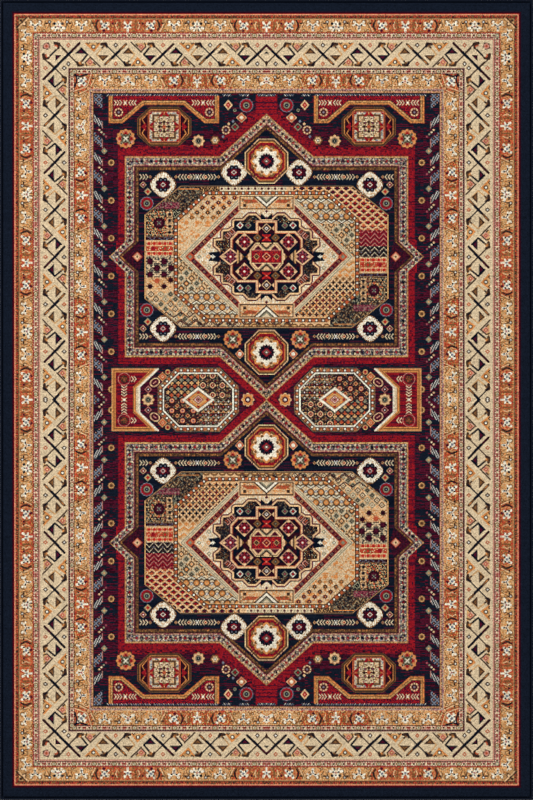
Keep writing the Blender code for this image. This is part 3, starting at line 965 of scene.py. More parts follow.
def dark_square(pen):
    """A square patch of dark wool with a rosette and a ring of light and red dots."""
    pen.box(-40, -39, 62, 39, "umber", ink=0.4, sage=0.2, tan=0.12, rust=0.06)
    for i, j, x, y in staggered((-38, -36), (14, 38), 10, 7):
        pen.disc(("peach", "sage", "tan")[(i + j) % 3], 1.9, x, y)
    pen.box(21, -36, 38, 36, "peach", umber=0.15, tan=0.3)
    for y in (-28, -10, 8, 26):
        star_leaf(pen.at(30, y), 7, "ink")
        pen.line((23, y + 9, 37, y + 9), 2, "brown")
    pen.box(40, -39, 62, 39, "ink", sage=0.35)
    for turn in range(0, 360, 30):
        pen.at(-2, 0, turn=turn).diamond("rust" if turn % 60 else "tan", 4, 4, 22, 0)
    pen.petals("wine", 18.5, 12, 0.14, -2, 0)
    pen.petals("maroon", 12, 8, 0.2, -2, 0)
    for bar in pen.turned(4, 45, -2)[:2]:
        bar.line((-7, 0, 7, 0), 2.8, "sage")
    pen.diamond("ink", 4.4, 4.4, -2, 0)
    pen.disc("cream", 1.6, -2, 0)


def orange_strip(pen):
    """A strip of red and orange figures on peach."""
    pen.box(-40, -22, 40, 22, "peach")
    pen.mottle(-40, -20, 40, 20, orange=0.35)
    pen.box(-40, -8, 40, 7, "rust", scarlet=0.45, peach=0.12)
    for x in (-32, -16, 0, 16, 32):
        for y in (-15, 14):
            star_leaf(pen.at(x, y), 7.6, "scarlet")
            pen.line((x + 8, y - 5, x + 8, y + 5), 2.2, "rust")
    star_leaf(pen.at(16, -0.5), 12, "brown")
    star_leaf(pen.at(16, -0.5), 6, "scarlet")
    star_leaf(pen.at(-20, -0.5), 9, "red")
    pen.line((-38, 9, 38, 9), 2, "peach")
    pen.line((-38, -10, 38, -10), 2, "peach")


def patch_column(pen):
    """The patches of one side column, in the left column's order from the far end to the near end."""
    pen.box(-60, 60, 130, 215, "umber", ink=0.35, tan=0.14, sage=0.1)
    zigzag(pen, box_points(-30, 166, 62, 184), 20, 2.6,
           ("sage", "umber", "ink", "brown", "umber", "tan"), 16)
    net(pen, box_points(-30, 186, 130, 214), 18, 2.6, "sage")
    net(pen, box_points(20, 166, 130, 214), 24, 2.4, "ink", 0.8)
    pen.line((40, 203, 118, 203), 2.6, "orange")
    pen.line((-4, 192, 30, 192), 2.6, "tan")
    pen.line((-38, 165, 18, 213), 2.6, "tan")
    pen.box(-26, 144, 60, 163, "rose", maroon=0.45, sage=0.14)
    pen.box(-60, 140, -24, 165, "umber", tan=0.3)
    dark_square(pen.at(1, 101))
    pen.box(-45, 49, 45, 61, "brown")
    pen.box(-45, 51, 45, 58, "wine")
    pen.mottle(-45, 49, 45, 61, blue=0.2)
    orange_strip(pen.at(1, 25))
    pen.box(-45, -62, 45, 3, "ivory", ink=0.25, sage=0.2, peach=0.3)
    for i, j, x, y in staggered((-28, -54), (45, 4), 42, 20):
        for turn in (25, 155, 205, 335):
            leaf = pen.at(x, y, turn=turn)
            leaf.shape((13, 0, 21, 5, 21, -5), "ink")
            leaf.disc("sage", 1.8, 20, 0)
        star_leaf(pen.at(x, y), 15, "wine")
        pen.disc("wine", 9, x, y)
        pen.mottle(x - 7, y - 7, x + 7, y + 7, maroon=0.5)
    pen.box(-45, -98, 45, -62, "peach", orange=0.25, tan=0.25)
    for x, y, wool in ((-28, -89, "wine"), (14, -89, "wine"), (-7, -72, "rust"), (34, -70, "wine")):
        star_leaf(pen.at(x, y), 12, wool)
        pen.disc(wool, 6, x, y)
        pen.line((x - 17, y + 9, x - 11, y + 3), 2.4, "brown")


def patch(pen, points, ground, **shares):
    """Fills an outline with spotted wool, and gives a pen kept in it and its lowest and highest corners."""
    low, high = np.min(points, 0), np.max(points, 0)
    pen.shape(points, ground)
    kept = pen.kept_in(points)
    kept.mottle(*low, *high, **shares)
    return kept, low, high


def light_net(pen, points):
    """A patch of peach and ivory with ringed diamonds in rows, and a dark zigzag at its near end."""
    kept, low, high = patch(pen, points, "peach", ivory=0.35, orange=0.15, tan=0.2)
    looks = (("sage", "umber", "sage"), ("umber", "ivory", "brown"), ("sage", "ivory", "umber"))
    for i, j, x, y in staggered((low[0] + 6, low[1] - 2), high, 29, 14.8):
        edge, heart, eye = looks[(i + j) % 3]
        kept.diamond(edge, 10.5, 10, x, y)
        kept.diamond(heart, 7, 6.6, x, y)
        kept.diamond(eye, 3, 3, x, y)
        kept.line((x + 9, y - 7, x + 14.5, y - 2, x + 20, y - 7), 2, ("brown", "sage")[j % 2])
    for gap, wool in ((0, "wine"), (5, "umber"), (26, "wine")):
        x = np.arange(low[0], high[0] + 29, 22)
        kept.line(np.stack((x, low[1] + 6 + gap + np.arange(len(x)) % 2 * 16), 1), 3, wool)


def sprig_net(pen, points, ground, wools, dx, dy):
    """A patch of wide leaves in staggered rows with shaded feet, the wools following each other along y."""
    kept, low, high = patch(pen, points, ground, orange=0.3)
    rows = (high[1] - low[1]) / dy
    for i, j, x, y in staggered(low, high, dx, dy):
        wool, foot = wools[min(len(wools) - 1, int(j / rows * len(wools)))]
        kept.diamond(foot, dx * 0.37, dy * 0.6, x, y)
        kept.diamond(wool, dx * 0.28, dy * 0.4, x, y + 1.6)


def grey_net(pen, points):
    """A quarter patch: a net of ringed diamonds in grey and brown, then rows of balls and chevrons."""
    kept, low, high = patch(pen, points, "ivory", peach=0.35, tan=0.25, sage=0.15, umber=0.07)
    looks = (("tan", "umber", "peach", "orange"), ("sage", "umber", "orange", "peach"),
             ("ivory", "sage", "umber", "sage"))
    for i, j, x, y in staggered((low[0] + 9, low[1] + 3), (high[0] + 15, low[1] + 108), 30.8, 15.4):
        for size, wool in zip((12.8, 10.2, 6.6, 2.6), looks[(i * 2 + j) % 3]):
            kept.diamond(wool, size, size, x, y)
        kept.diamond("brown", 2.6, 3.4, x + 15.4, y)
    for j in range(3):
        base = low[1] + 107 + 31 * j
        kept.box(low[0], base - 8, high[0], base + 24, "ivory", tan=0.3)
        for x in np.arange(low[0] - 6 + (j % 2) * 15.4, high[0] + 16, 30.8):
            for gap, wool in ((10, "umber"), (6.4, "sage"), (3.4, "cream"), (0.4, "umber")):
                foot = base - 8 + gap
                kept.line((x - 15.4, foot, x, foot + 10, x + 15.4, foot), 2.4, wool)
            kept.petals("umber", 11.5, 6, 0.1, x, base + 13)
            kept.petals("brown", 10, 6, 0.1, x, base + 13.5)
            kept.disc("orange", 7, x, base + 13.5)
            kept.disc("tan", 3.4, x, base + 13.5)
            nested_diamond(kept.at(x + 15.4, base + 16), 5.6, ("blue", "cream"))


def plain_quarter(pen, points):
    """A quarter patch of plain peach, with pointed flowers in rows at its far end."""
    kept, low, high = patch(pen, points, "peach", tan=0.35, ivory=0.4)
    kept.mottle(*low, *high, (7, 5), orange=0.16)
    for i, j, x, y in staggered((-240, 102), (-40, 190), 32, 15):
        wool = ("orange", "brown", "umber", "wine", "maroon", "maroon")[j]
        star_leaf(kept.at(x, y), 9.5, wool)
        kept.disc("orange", 2.2, x, y)


def cross_quarter(pen, points):
    """A quarter patch of small crosses: orange waves, then brown, navy and red crosses in a net."""
    kept, low, high = patch(pen, points, "peach", tan=0.35)
    zigzag(kept, box_points(low[0], -50, high[0], 0), 26, 5, ("peach", "ivory", "orange", "tan"), 10)
    kept.mottle(low[0], -196, high[0], -110, orange=0.3)
    rows = ("orange", "brown", "umber", "ink", "ink", "wine", "wine", "maroon", "wine", "maroon", "umber",
            "ink")
    for j, wool in enumerate(rows):
        y = -56 - 10.6 * j
        for x in np.arange(60 + (j % 2) * 10, 300, 20):
            cross = kept.at(x, y)
            cross.diamond(wool, 9, 4)
            cross.diamond(wool, 4, 8.6)
            cross.diamond(wool, 5.8)
            if j > 3:
                cross.disc("rust" if j % 2 else "sage", 1.6)
            kept.diamond("ivory" if j < 6 else "tan", 2.4, 3, x + 10, y)


def patchwork(pen):
    """The octagon of patches of the far medallion, its bead frame and what lies inside it."""
    outline = octagon(364.7, 212.4, 108, 87)
    pen.shape(outline, "peach")
    kept = pen.kept_in(outline)
    patch_column(kept.at(-321, 0))
    light_net(kept, [(-366, -98), (-277, -98), (-180, -184), (80, -184), (80, -214), (-366, -214)])
    kept.at(321, 0, turn=180).box(-45, 0, 45, 10, "tan")
    patch_column(kept.at(321, 0, turn=180))
    upper = [(277, -0.5), (366, -0.5), (366, 214), (80, 214), (80, 184), (180, 184), (277, 98)]
    reds = (("red", "maroon"), ("red", "maroon"), ("rust", "maroon"), ("red", "wine"), ("red", "wine"),
            ("red", "ink"), ("maroon", "ink"))
    sprig_net(kept, upper, "peach", reds, 26.4, 11.4)
    kept.box(277, 0, 366, 78, "red")
    zigzag(kept, box_points(277, 0, 366, 32), 27, 3, ("ink", "ink", "umber", "ink", "ivory"), 15)
    zigzag(kept, box_points(277, 32, 366, 78), 27, 2.8, ("maroon", "red", "maroon", "red", "pink"), 15)
    for x in np.arange(284, 380, 27):
        nested_diamond(kept.at(x, 13), 5.4, ("umber", "blue"))
        nested_diamond(kept.at(x, 68), 6, ("red", "maroon"))
    kept.box(-200, 195, 60, 214, "ivory")
    kept.box(-200, 195, -140, 214, "umber", tan=0.3)
    for x in np.arange(-134, 60, 20):
        kept.diamond("maroon", 4.4, 5, x, 204)
        kept.diamond("sage", 2.6, 3, x + 10, 204)
    for x in np.arange(-60, 200, 24):
        kept.disc("brown", 12, x, -212)
        kept.disc("tan", 8, x, -213)
    for edge in (-1, 1):
        kept.line((-260, 211 * edge, 260, 211 * edge), 2.4, "orange")
    pen.bands(outline, [(0, 1.8, "tan"), (1.8, 3, "umber")])
    inside = octagon(278, 197, 96, 86)
    nest(pen, inside, [(2.2, "umber"), (8.4, "rust"), (2.2, "umber"), (1.4, "tan")], "ivory")
    rim = lambda x, y: depth_in(inside, x, y) < 10
    pen.kept_in(inside).mottle(-278, -197, 278, 197, rule=rim, brown=0.4, orange=0.2)
    for k, x, y, turn in along(inside, 20, 6.4):
        bead = pen.at(x, y, turn=turn)
        bead.box(-5, -5.4, 5, 5.4, "umber")
        bead.disc("cream", 3.1)
    core = inset(inside, 14.2)
    quarters = pen.kept_in(core)
    plain_quarter(quarters, [(-270, 0), (0, 0), (0, 190), (-270, 190)])
    grey_net(quarters, [(0, 0), (270, 0), (270, 190), (0, 190)])
    grey_net(quarters.at(0, 0, turn=180), [(0, 0), (270, 0), (270, 190), (0, 190)])
    cross_quarter(quarters, [(0, -190), (270, -190), (270, 0), (0, 0)])
    rhombus = [(-239, 0), (0, -236), (239, 0), (0, 236)]
    low, high = (-270, -184), (270, 184)
    middle = lambda x, y: depth_in(rhombus, x, y) > 14
    for start, end, wool in ((-15.5, -13, "ivory"), (-13, -10.5, "sage"), (-10.5, -7, "ivory"),
                             (-7, -5, "sage"), (-5, -2, "ivory"), (-2, 0, "rust"), (0, 11.5, "maroon"),
                             (11.5, 14, "rust"), (14, 400, "ivory")):
        rule = lambda x, y: (depth_in(rhombus, x, y) >= start) & (depth_in(rhombus, x, y) < end)
        quarters.paint(low, high, rule, wool)
    quarters.mottle(*low, *high, rule=middle, cream=0.35, peach=0.25)
    for k, x, y, turn in along(rhombus, 13.8, 5.8):
        bead = quarters.at(x, y, turn=turn)
        if abs(y) < 178:
            bead.box(-3.9, -3.6, 3.9, 3.6, ("tan", "sage", "rust")[k % 3])
            bead.box(-2.5, -2.2, 2.5, 2.2, "wine")
            bead.disc("tan", 1.1)
    for side in (-1, 1):
        tip = pen.at(side * 229, 0)
        tip.diamond("rust", 15, 14.5)
        tip.petals("sage", 6, 4, 0.25)
        for x, y, *wools in ((202, 0, "sage", "cream"), (187, 17, "tan", "ivory"), (187, -17, "tan", "ivory"),
                             (174, 0, "orange", "ivory"), (172, 33, "sage", "ivory"),
                             (172, -33, "sage", "ivory")):
            nested_diamond(pen.at(side * x, y), 7, wools)
    medallion_star(pen)


def star_rosette(pen, radius, framed):
    """A rosette: dark dashes round a red heart with a cream eye, on a red diamond with tips if framed."""
    if framed:
        pen.diamond("peach", radius)
        pen.diamond("maroon", radius - 3)
        for tip in pen.turned(4):
            tip.diamond("peach", 7, 6, radius - 8, 0)
        pen.disc("red", radius * 0.62)
    for side in pen.turned(4, 45):
        side.line((-6, 12.5, 6, 12.5), 5, "ink")
        side.line((-1.5, 12.5, 1.5, 12.5), 4, "rose")
    pen.box(-6.5, -6.5, 6.5, 6.5, "ink")
    pen.petals("maroon", 9.5, 4, 0.12)
    pen.disc("red", 6.8)
    pen.diamond("cream", 4.4)


BODY_QUARTER = [(0, 118), (13, 118), (16.5, 135), (18.5, 122), (30, 133), (56, 133), (72.5, 117), (96, 117),
                (106, 110), (106, 93), (117, 85), (133.5, 84.5), (139.5, 74.5), (139.5, 58), (160.5, 56.5),
                (162, 31), (147, 18.5), (150, 0)]
CROSS_QUARTER = [(0, 109.5), (33, 109.5), (33, 78), (87.5, 78), (110, 53.5), (110, 26), (143, 0)]


def medallion_star(pen):
    """The star at a medallion's heart: a stepped dark body, a peach cross on it and their small figures."""
    for end in (-1, 1):
        half = pen.flipped(1, end)
        half.box(-84, 139, 84, 185, "peach")
        half.box(-81, 142, 81, 182, "umber")
        half.box(-78, 145, 78, 179, "orange", peach=0.6, ivory=0.25)
        for side in (-1, 1):
            half.shape((side * 76, 172, side * 34, 172, side * 24, 162, side * 58, 160), "rust")
            half.box(side * 70, 149, side * 61, 158, "umber")
            half.mottle(side * 76, 160, side * 34, 178, brown=0.3)
        half.shape((-40, 181, 40, 181, 0, 145), "umber")
        half.shape((-34, 181, 34, 181, 0, 150), "cream")
        half.shape((-24, 181, 24, 181, 0, 159), "umber")
        half.shape((-20, 181, 20, 181, 0, 163), "sage")
        half.shape((-13, 181, 13, 181, 0, 169), "ivory")
    body = mirrored_outline(BODY_QUARTER)
    nest(pen, body, [(3.4, "maroon"), (5.2, "peach"), (1.6, "wine")], "ink")
    kept = pen.kept_in(inset(body, 9))
    for side in (-1, 1):
        for end in (-1, 1):
            for box in ((112, 14, 155, 60), (30, 102, 76, 130), (92, 58, 134, 86)):
                place = side * box[0], end * box[1], side * box[2], end * box[3]
                kept.mottle(*place, umber=0.35, brown=0.1, sage=0.08)
            corner = pen.flipped(side, end)
            nested_diamond(corner.at(79.5, 94), 10.5, ("cream", "maroon", "scarlet"))
            nested_diamond(corner.at(55, 94), 10, ("sage", "umber", "rose"))
            for x, y in ((103, 74), (116, 62)):
                hook = corner.at(x, y, turn=45)
                hook.box(-8, -7, 8, 7, "pink")
                hook.box(-5, -4.4, 8, 4.4, "ink")
                hook.box(-3, -1.6, 8, 1.6, "rust")
    for end in (-1, 1):
        crown = pen.flipped(1, end)
        crown.shape((-17, 112, -17, 130, -8, 123, 0, 113, 8, 123, 17, 130, 17, 112), "ink")
        crown.diamond("maroon", 5, 5, 0, 136)
        side = pen.flipped(end, 1)
        side.shape((140, -16, 174, -12, 166, 0, 174, 12, 140, 16), "ink")
        side.shape((153, 0, 163, -8, 160, 0, 163, 8), "cream")
        side.line((160, -2, 166, 2), 5, "cream")
    cross = mirrored_outline(CROSS_QUARTER)
    nest(pen, cross, [(1.4, "maroon"), (5.6, "peach"), (1.8, "rust")], "wine")
    inner = pen.kept_in(inset(cross, 8.8))
    inner.mottle(-110, -110, 110, 110, (10, 10), ink=0.45)
    for side in (-1, 1):
        diamond = pen.at(side * 108, 0)
        diamond.diamond("maroon", 35, 29)
        diamond.diamond("peach", 33, 27)
        diamond.diamond("maroon", 27, 21)
        diamond.diamond("rose", 24, 19)
        for x in (-19, 19):
            diamond.diamond("peach", 7, 5, x, 0)
        star_rosette(diamond, 15, False)
        for end in (-1, 1):
            star_rosette(pen.at(side * 66, end * 44.5), 27, True)
            nested_diamond(pen.at(side * 27, end * 57), 13, ("brown", "brown", "umber", "sage"))
        for reach_out, wool in ((22, "tan"), (17, "umber"), (13, "peach"), (7, "brown")):
            for tip, base in ((66, 66 + reach_out), (63, 63 - reach_out)):
                pen.shape((side * base, -reach_out, side * tip, 0, side * base, reach_out), wool)
    for end in (-1, 1):
        arm = pen.at(0, 0, turn=0 if end > 0 else 180)
        for way in (-1, 1):
            arm.shape((-13, 57 + way * 10, 0, 57, 13, 57 + way * 10), "red")
        arm.line((-11, 65, 11, 48), 4.4, "scarlet")
        arm.line((11, 65, -11, 48), 4.4, "scarlet")
        arm.disc("peach", 2, 0, 57)
        nested_diamond(arm.at(0, 85), 15, ("peach", "wine", "wine", "cream", "maroon"))
        for half in arm.sides():
            half.shape((23, 93, 23, 77, 16, 85), "peach")
    lamp = [(-50, 20), (-33, 42), (33, 42), (50, 20), (50, -20), (33, -42), (-33, -42), (-50, -20)]
    nest(pen, lamp, [(3.2, "peach"), (1.2, "umber")], "peach")
    for end in (-1, 1):
        lid = pen.flipped(1, end)
        for x in (-25, 25):
            lid.shape((x - 13, 20, x + 13, 20, x, 34), "maroon")
        lid.line((-18, 40, 0, 24, 18, 40), 4.4, "umber")
        lid.line((-18, 35, 0, 19, 18, 35), 2.6, "sage")
        lid.shape((-10, 40, 10, 40, 0, 31), "peach")
    pen.box(-45, -18, 45, 18, "red")
    pen.box(-34, -15, 34, 15, "scarlet", lambda x, y: (abs(x) % 16 < 7) & (abs(y) > 5))
    pen.mottle(-45, -18, 45, 18, maroon=0.25)
    for x in (-30, 30):
        nested_diamond(pen.at(x, 0), 9.5, ("tan", "umber", "umber", "brown"))
    nested_diamond(pen.at(0, 0), 13, ("peach", "red", "maroon", "red", "orange"))


def side_panel(pen):
    """The panel at a long side's middle: a gold and cream outline round red, and its small figures."""
    outline = [(464, 94), (322, 94), (379, 39), (379, -39), (322, -94), (464, -94)]
    nest(pen, outline, [(2, "tan"), (4, "orange"), (3, "brown"), (3, "orange"), (1.4, "umber")], "red")
    pen.kept_in(inset(outline, 15)).mottle(322, -94, 464, 94, (25, 2.5), maroon=0.3)
    edge = [(322, 93), (379, 38), (379, -38), (322, -93), (334, -93), (391, -36), (391, 36), (334, 93)]
    pen.shape(edge, "ivory")
    pen.line((325, 92, 381, 38, 381, -38, 325, -92), 5, "cream")
    pen.line((340, 90, 396, 36, 396, -36, 340, -90), 8, "orange")
    pen.line((343, 88, 399, 35, 399, -35, 343, -88), 2.6, "brown")
    column = pen.at(426.5, 0, turn=90)
    chevron_cross(column, 4)
    for y in (-62, 62):
        ring = pen.at(426.5, y)
        ring.ring("pink", 19, 1.8)
        ring.petals("umber", 12.5, 8, 0.12)
        ring.mottle(-10, -10, 10, 10, rule=lambda x, y: np.hypot(x, y) < 9, rust=0.35)
        ring.disc("brown", 3.4)
        chevrons(pen.at(0, y), (401, 393), -1)
    for end in (-1, 1):
        nested_diamond(pen.at(354.5, end * 31), 11, ("pink", "maroon", "wine", "cream"))
        ring = pen.at(334.5, end * 52, turn=-35 * end)
        ring.petals("peach", 16, 2, 0.25)
        ring.petals("maroon", 12.5, 2, 0.25)
        ring.line((-5, 0, 5, 0), 3, "pink")
        nested_diamond(pen.at(311.5, end * 69), 14.5, ("tan", "rust", "rust", "peach", "rust"))
        pen.ring("tan", 7.6, 3, "red", 296, end * 83)
    peach_flower(pen.at(354.5, 0), 19)


def side_octagon(pen):
    """The octagon beside a side panel: a bead frame, a cream line and four small patches about a rhomb."""
    outline = octagon(121, 96, 56, 57)
    nest(pen, outline, [(1.6, "sage"), (2.2, "umber"), (8.6, "rust"), (2, "umber"), (4.4, "cream"),
                        (1.4, "umber")], "umber")
    rim = lambda x, y: depth_in(outline, x, y) < 12
    pen.kept_in(outline).mottle(-121, -96, 121, 96, rule=rim, brown=0.4, tan=0.2)
    for k, x, y, turn in along(outline, 20, 8):
        bead = pen.at(x, y, turn=turn)
        bead.box(-5, -5.4, 5, 5.4, "umber")
        bead.disc("cream", 3.3)
    field = pen.kept_in(inset(outline, 19.6))
    field.box(-105, -80, 105, 80, "umber", sage=0.18, maroon=0.25, ink=0.2, tan=0.08)
    for i, j, x, y in staggered((-100, 5), (0, 80), 20, 9):
        trefoil(field.at(x + 10, y), ("sage", "rust", "tan")[j % 3], 1.3)
        field.box(x - 3.8, y - 3.8, x + 3.8, y + 3.8, "ink")
    for x in (14, 43, 72):
        for y in (14, 43, 72):
            field.disc("ink", 12, x, y)
            for size, wool in ((9.4, "peach"), (6.4, "red"), (3.8, "maroon"), (2, "peach")):
                field.petals(wool, size, 4, 0.12, x, y)
            field.diamond("brown", 4.4, 4.4, x + 14.5, y + 14.5)
            field.diamond("tan", 2.6, 2.6, x + 14.5, y)
    for i, j, x, y in staggered((-95, -78), (0, 0), 32, 15):
        if j % 2:
            field.ring("ink", 10.5, 2.6, "rust", x, y)
            field.ring("peach", 5.6, 2, "rose", x, y)
        else:
            nested_diamond(field.at(x, y), 10, ("ink", "tan", "rust", "ink"))
    for i, j, x, y in staggered((8, -76), (105, 0), 15, 8):
        field.line((x - 5, y - 3, x, y + 3, x + 5, y - 3), 2.4, ("sage", "maroon", "tan")[j % 3])
        field.disc(("rust", "cream")[i % 2], 2, x, y - 2)
    rhomb = pen.at(0, 0)
    rhomb.diamond("cream", 49, 38)
    rhomb.diamond("umber", 38, 29)
    rhomb.diamond("orange", 36, 27)
    for turn in (0, 90, 180, 270):
        rhomb.at(0, 0, turn=turn).disc("red", 4, 27 if turn % 180 == 0 else 20, 0)
    rhomb.diamond("tan", 25, 19)
    nested_diamond(rhomb, 16, ("red", "cream", "red", "pink", "ink"), 0.85)


def field(cloth):
    """The whole far half of the field."""
    pen = Pen(cloth)
    pen.box(-520, -5, 520, 920, "navy")
    for y0, y1, share in ((-5, 920, 0.12), (780, 812, 0.2), (700, 770, 0.25), (640, 700, 0.3),
                          (560, 600, 0.35), (470, 520, 0.4), (380, 430, 0.35), (290, 330, 0.4),
                          (180, 240, 0.35), (100, 150, 0.3), (-5, 60, 0.45)):
        for wool, grain in (("maroon", 60), ("wine", 15), ("maroon", 9)):
            pen.mottle(-520, y0, 520, y1, (grain, 2.5), **{wool: share * 0.8})
    medallion = pen.at(0, MEDALLION_Y)
    size = (-520, -430), (520, 490)
    outside = lambda reach_out: lambda x, y: (frame_depth(x, y, reach_out) > 0)
    fading = lambda x, y: (frame_depth(x, y, 46) > 0) & (y > 290) & (abs(x) < 445)
    medallion.mottle(*size[0], *size[1], (10, 2.5), rule=fading, maroon=0.65)
    medallion.mottle(*size[0], *size[1], (15, 2.5), rule=fading, wine=0.25)
    fading = lambda x, y: (frame_depth(x, y, 34) > 0) & (y > 290) & (abs(x) < 445)
    medallion.mottle(*size[0], *size[1], (7.5, 2.5), rule=fading, red=0.5)
    for middle in (MEDALLION_Y, -MEDALLION_Y):
        spot = pen.at(0, middle)
        spot.paint((-450, -455), (450, 455), outside(20), "red")
        spot.mottle(-450, -455, 450, 455, (45, 2.5), rule=outside(20), maroon=0.12)
        spot.mottle(-450, -455, 450, 455, (5, 2.5), rule=outside(20), maroon=0.2)
    pen.box(-32, 830, 32, 920, "red")
    pen.mottle(-32, 830, 32, 920, (64, 2.5), maroon=0.2)
    pen.mottle(-32, 830, 32, 920, (5, 2.5), maroon=0.15)
    for middle in (-MEDALLION_Y, MEDALLION_Y):
        spot = pen.at(0, middle)
        spot.paint(FRAME_BOX[:2], FRAME_BOX[2:], lambda x, y: frame_depth(x, y) > 0, "ink")
        if middle > 0:
            spot.mottle(*FRAME_BOX, (60, 2.5), rule=lambda x, y: frame_depth(x, y) > 0,
                        maroon=0.3)
            spot.mottle(*FRAME_BOX, (40, 2.5), rule=lambda x, y: frame_depth(x, y) > 0, navy=0.5)
        tips = lambda x, y: (frame_depth(x, y) > 40) & (abs(x) > 368 + abs(y) * 0.3) & (abs(y) < 60)
        spot.mottle(-472, -70, 472, 70, rule=tips, wine=0.7, maroon=0.4)
        medallion_frame(spot)
    for side in (-1, 1):
        outward = pen.at(0, 0, mirror=side < 0)
        side_hatching(outward)
        corner_panel(outward)
        corner_flowers(outward)
        side_panel(outward)
        flower = outward.at(55.8, 0)
        flower.petals("peach", 20, 8, 0.2, squash=1.1)
        flower.petals("orange", 17, 8, 0.2, squash=1.1)
        flower.disc("maroon", 9)
        flower.disc("cream", 4.4)
    side_octagon(pen.at(-204.5, 0))
    side_octagon(pen.at(204.5, 0, turn=180))
    medallion_figures(medallion)
    patchwork(medallion)


def whole_rug(wools, half_width=800, half_length=1200):
    """The colours of all the tufts, as rows from the near end: the far half, and the same half turned."""
    cloth = Cloth((-half_width, 0), (half_width, half_length), wools, "navy", 7)
    field(cloth)
    quarter = border(wools, half_width, half_length)[::-1]
    both_sides = np.concatenate((quarter, quarter[:, ::-1]), 1)
    depth = 282.6
    y = (np.arange(cloth.colours.shape[0]) + 0.5) * SAMPLE
    x = -half_width + (np.arange(cloth.colours.shape[1]) + 0.5) * SAMPLE
    edge = (abs(x)[None, :] > half_width - depth) | (y[:, None] > half_length - depth)
    cloth.colours[edge] = both_sides[edge]
    rows, columns = (n // FINE for n in cloth.colours.shape[:2])
    far = cloth.colours.reshape(rows, FINE, columns, FINE, 3).mean((1, 3))
    return np.concatenate((far[::-1, ::-1], far))


# Sizes and colours that a user would change.

def length_property(name, description, default, low, high):
    """A property for a length in metres."""
    return bpy.props.FloatProperty(
        name=name, description=description, default=default, min=low, max=high, unit="LENGTH")


def colour_property(name, description, default):
    """A property for a colour as displayed, from 0 to 1."""
    return bpy.props.FloatVectorProperty(
        name=name, description=description, subtype="COLOR_GAMMA", size=3, min=0, max=1, default=default)


class RugWools(bpy.types.PropertyGroup):
    """The dyed wools of the pile."""

    __annotations__ = {
        name: colour_property(name.capitalize(), "Colour of the " + name + " wool as dyed, before any wear",
                              [value / 255 for value in colour])
        for name, colour in WOOLS.items()}


class RugPileSizes(bpy.types.PropertyGroup):
    """Sizes and finish of the tufted pile."""

    tuft_pitch: length_property(
        "Tuft pitch", "Distance from one tuft to the next, both ways", TUFT / 1000, 0.002, 0.02)
    tip_jitter: length_property(
        "Tip jitter", "How far the tips of single tufts stand above or below the pile", 0.00022, 0, 0.001)
    wave_height: length_property(
        "Wave height", "Height of the slow waves in the pile", 0.0004, 0, 0.002)
    tuft_shade: bpy.props.FloatProperty(
        name="Tuft shade", description="How much the brightness changes from one tuft to the next",
        default=0.2, min=0, max=0.5, subtype="FACTOR")
    outline_contrast: bpy.props.FloatProperty(
        name="Outline contrast", description="How much darker or lighter a tuft is dyed beside an outline",
        default=0.45, min=0, max=1, subtype="FACTOR")
    row_shade: bpy.props.FloatProperty(
        name="Row shade", description="How much the brightness changes from one row of tufts to the next",
        default=0.05, min=0, max=0.3, subtype="FACTOR")
    seed: bpy.props.IntProperty(
        name="Seed", description="Seed for the tufts' own heights and shades", default=3, min=0)


class RugEdgeSizes(bpy.types.PropertyGroup):
    """Sizes and colour of the overcast edge."""

    yarn_colour: colour_property(
        "Yarn colour", "Colour of the yarn wrapped round the edge", (0.083, 0.106, 0.158))
    wrap_pitch: length_property(
        "Wrap pitch", "Distance along the edge from one turn of yarn to the next", 0.0032, 0.002, 0.01)
    wrap_depth: length_property(
        "Wrap depth", "Depth of the groove between two turns of yarn", 0.0004, 0, 0.001)
    wrap_slant: length_property(
        "Wrap slant", "How far a turn of yarn moves along the edge as it goes round it", 0.0030, -0.01, 0.01)
    cord_twist: length_property(
        "Cord twist", "Length of one full twist of the three-ply edge cord", 0.018, 0.008, 0.1)
    cord_colour: colour_property(
        "Cord colour", "Colour of the cotton edge cord", (0.82, 0.77, 0.66))


# Waves of the ground weave in radians a metre, and the latex coat's grid and the height of its waves.
WEAVE_WAVES = 251
COAT_GRID, COAT_SWELL = 0.016, 0.00006


class RugBackSizes(bpy.types.PropertyGroup):
    """Sizes and colours of the ground weave and the backing."""

    weft_pitch: length_property(
        "Weft pitch", "Distance from one weft yarn to the next in the ground weave", 0.0125, 0.004, 0.05)
    weave_relief: length_property(
        "Weave relief", "How far the yarns of the ground weave rise and fall", 0.00018, 0, 0.0005)
    jute_colour: colour_property(
        "Jute colour", "Colour of the jute yarns of the ground weave", (0.66, 0.53, 0.36))
    latex_colour: colour_property(
        "Latex colour", "Colour of the latex coat on the back", (0.80, 0.75, 0.64))


# The floor's half width and its gap under the rug, the lamp, and how the camera frames the rug.
FLOOR_REACH, FLOOR_GAP = 40, 0.0002
LAMP_PLACE, LAMP_SIZE = (-6.4, 6.4, 7.2), 5
SENSOR_SIZE = 36
VIEW_SHIFT, VIEW_SHARE = 0.0009, 0.9985


class RugStageSettings(bpy.types.PropertyGroup):
    """The floor, the lights and the camera."""

    floor_colour: colour_property(
        "Floor colour", "Colour of the plain floor", (0.86, 0.86, 0.85))
    sky_light: bpy.props.FloatProperty(
        name="Sky light", description="Strength of the even light from all round",
        default=0.60, min=0, max=5)
    key_light: bpy.props.FloatProperty(
        name="Key light", description="Power of the soft lamp at the far left",
        default=660, min=0, max=5000, unit="POWER")
    lens: bpy.props.FloatProperty(
        name="Lens", description="Focal length of the camera", default=200, min=20, max=400)


# Shader groups and materials.

def link(tree, start, end):
    """Joins an output socket to an input socket."""
    tree.links.new(start, end)


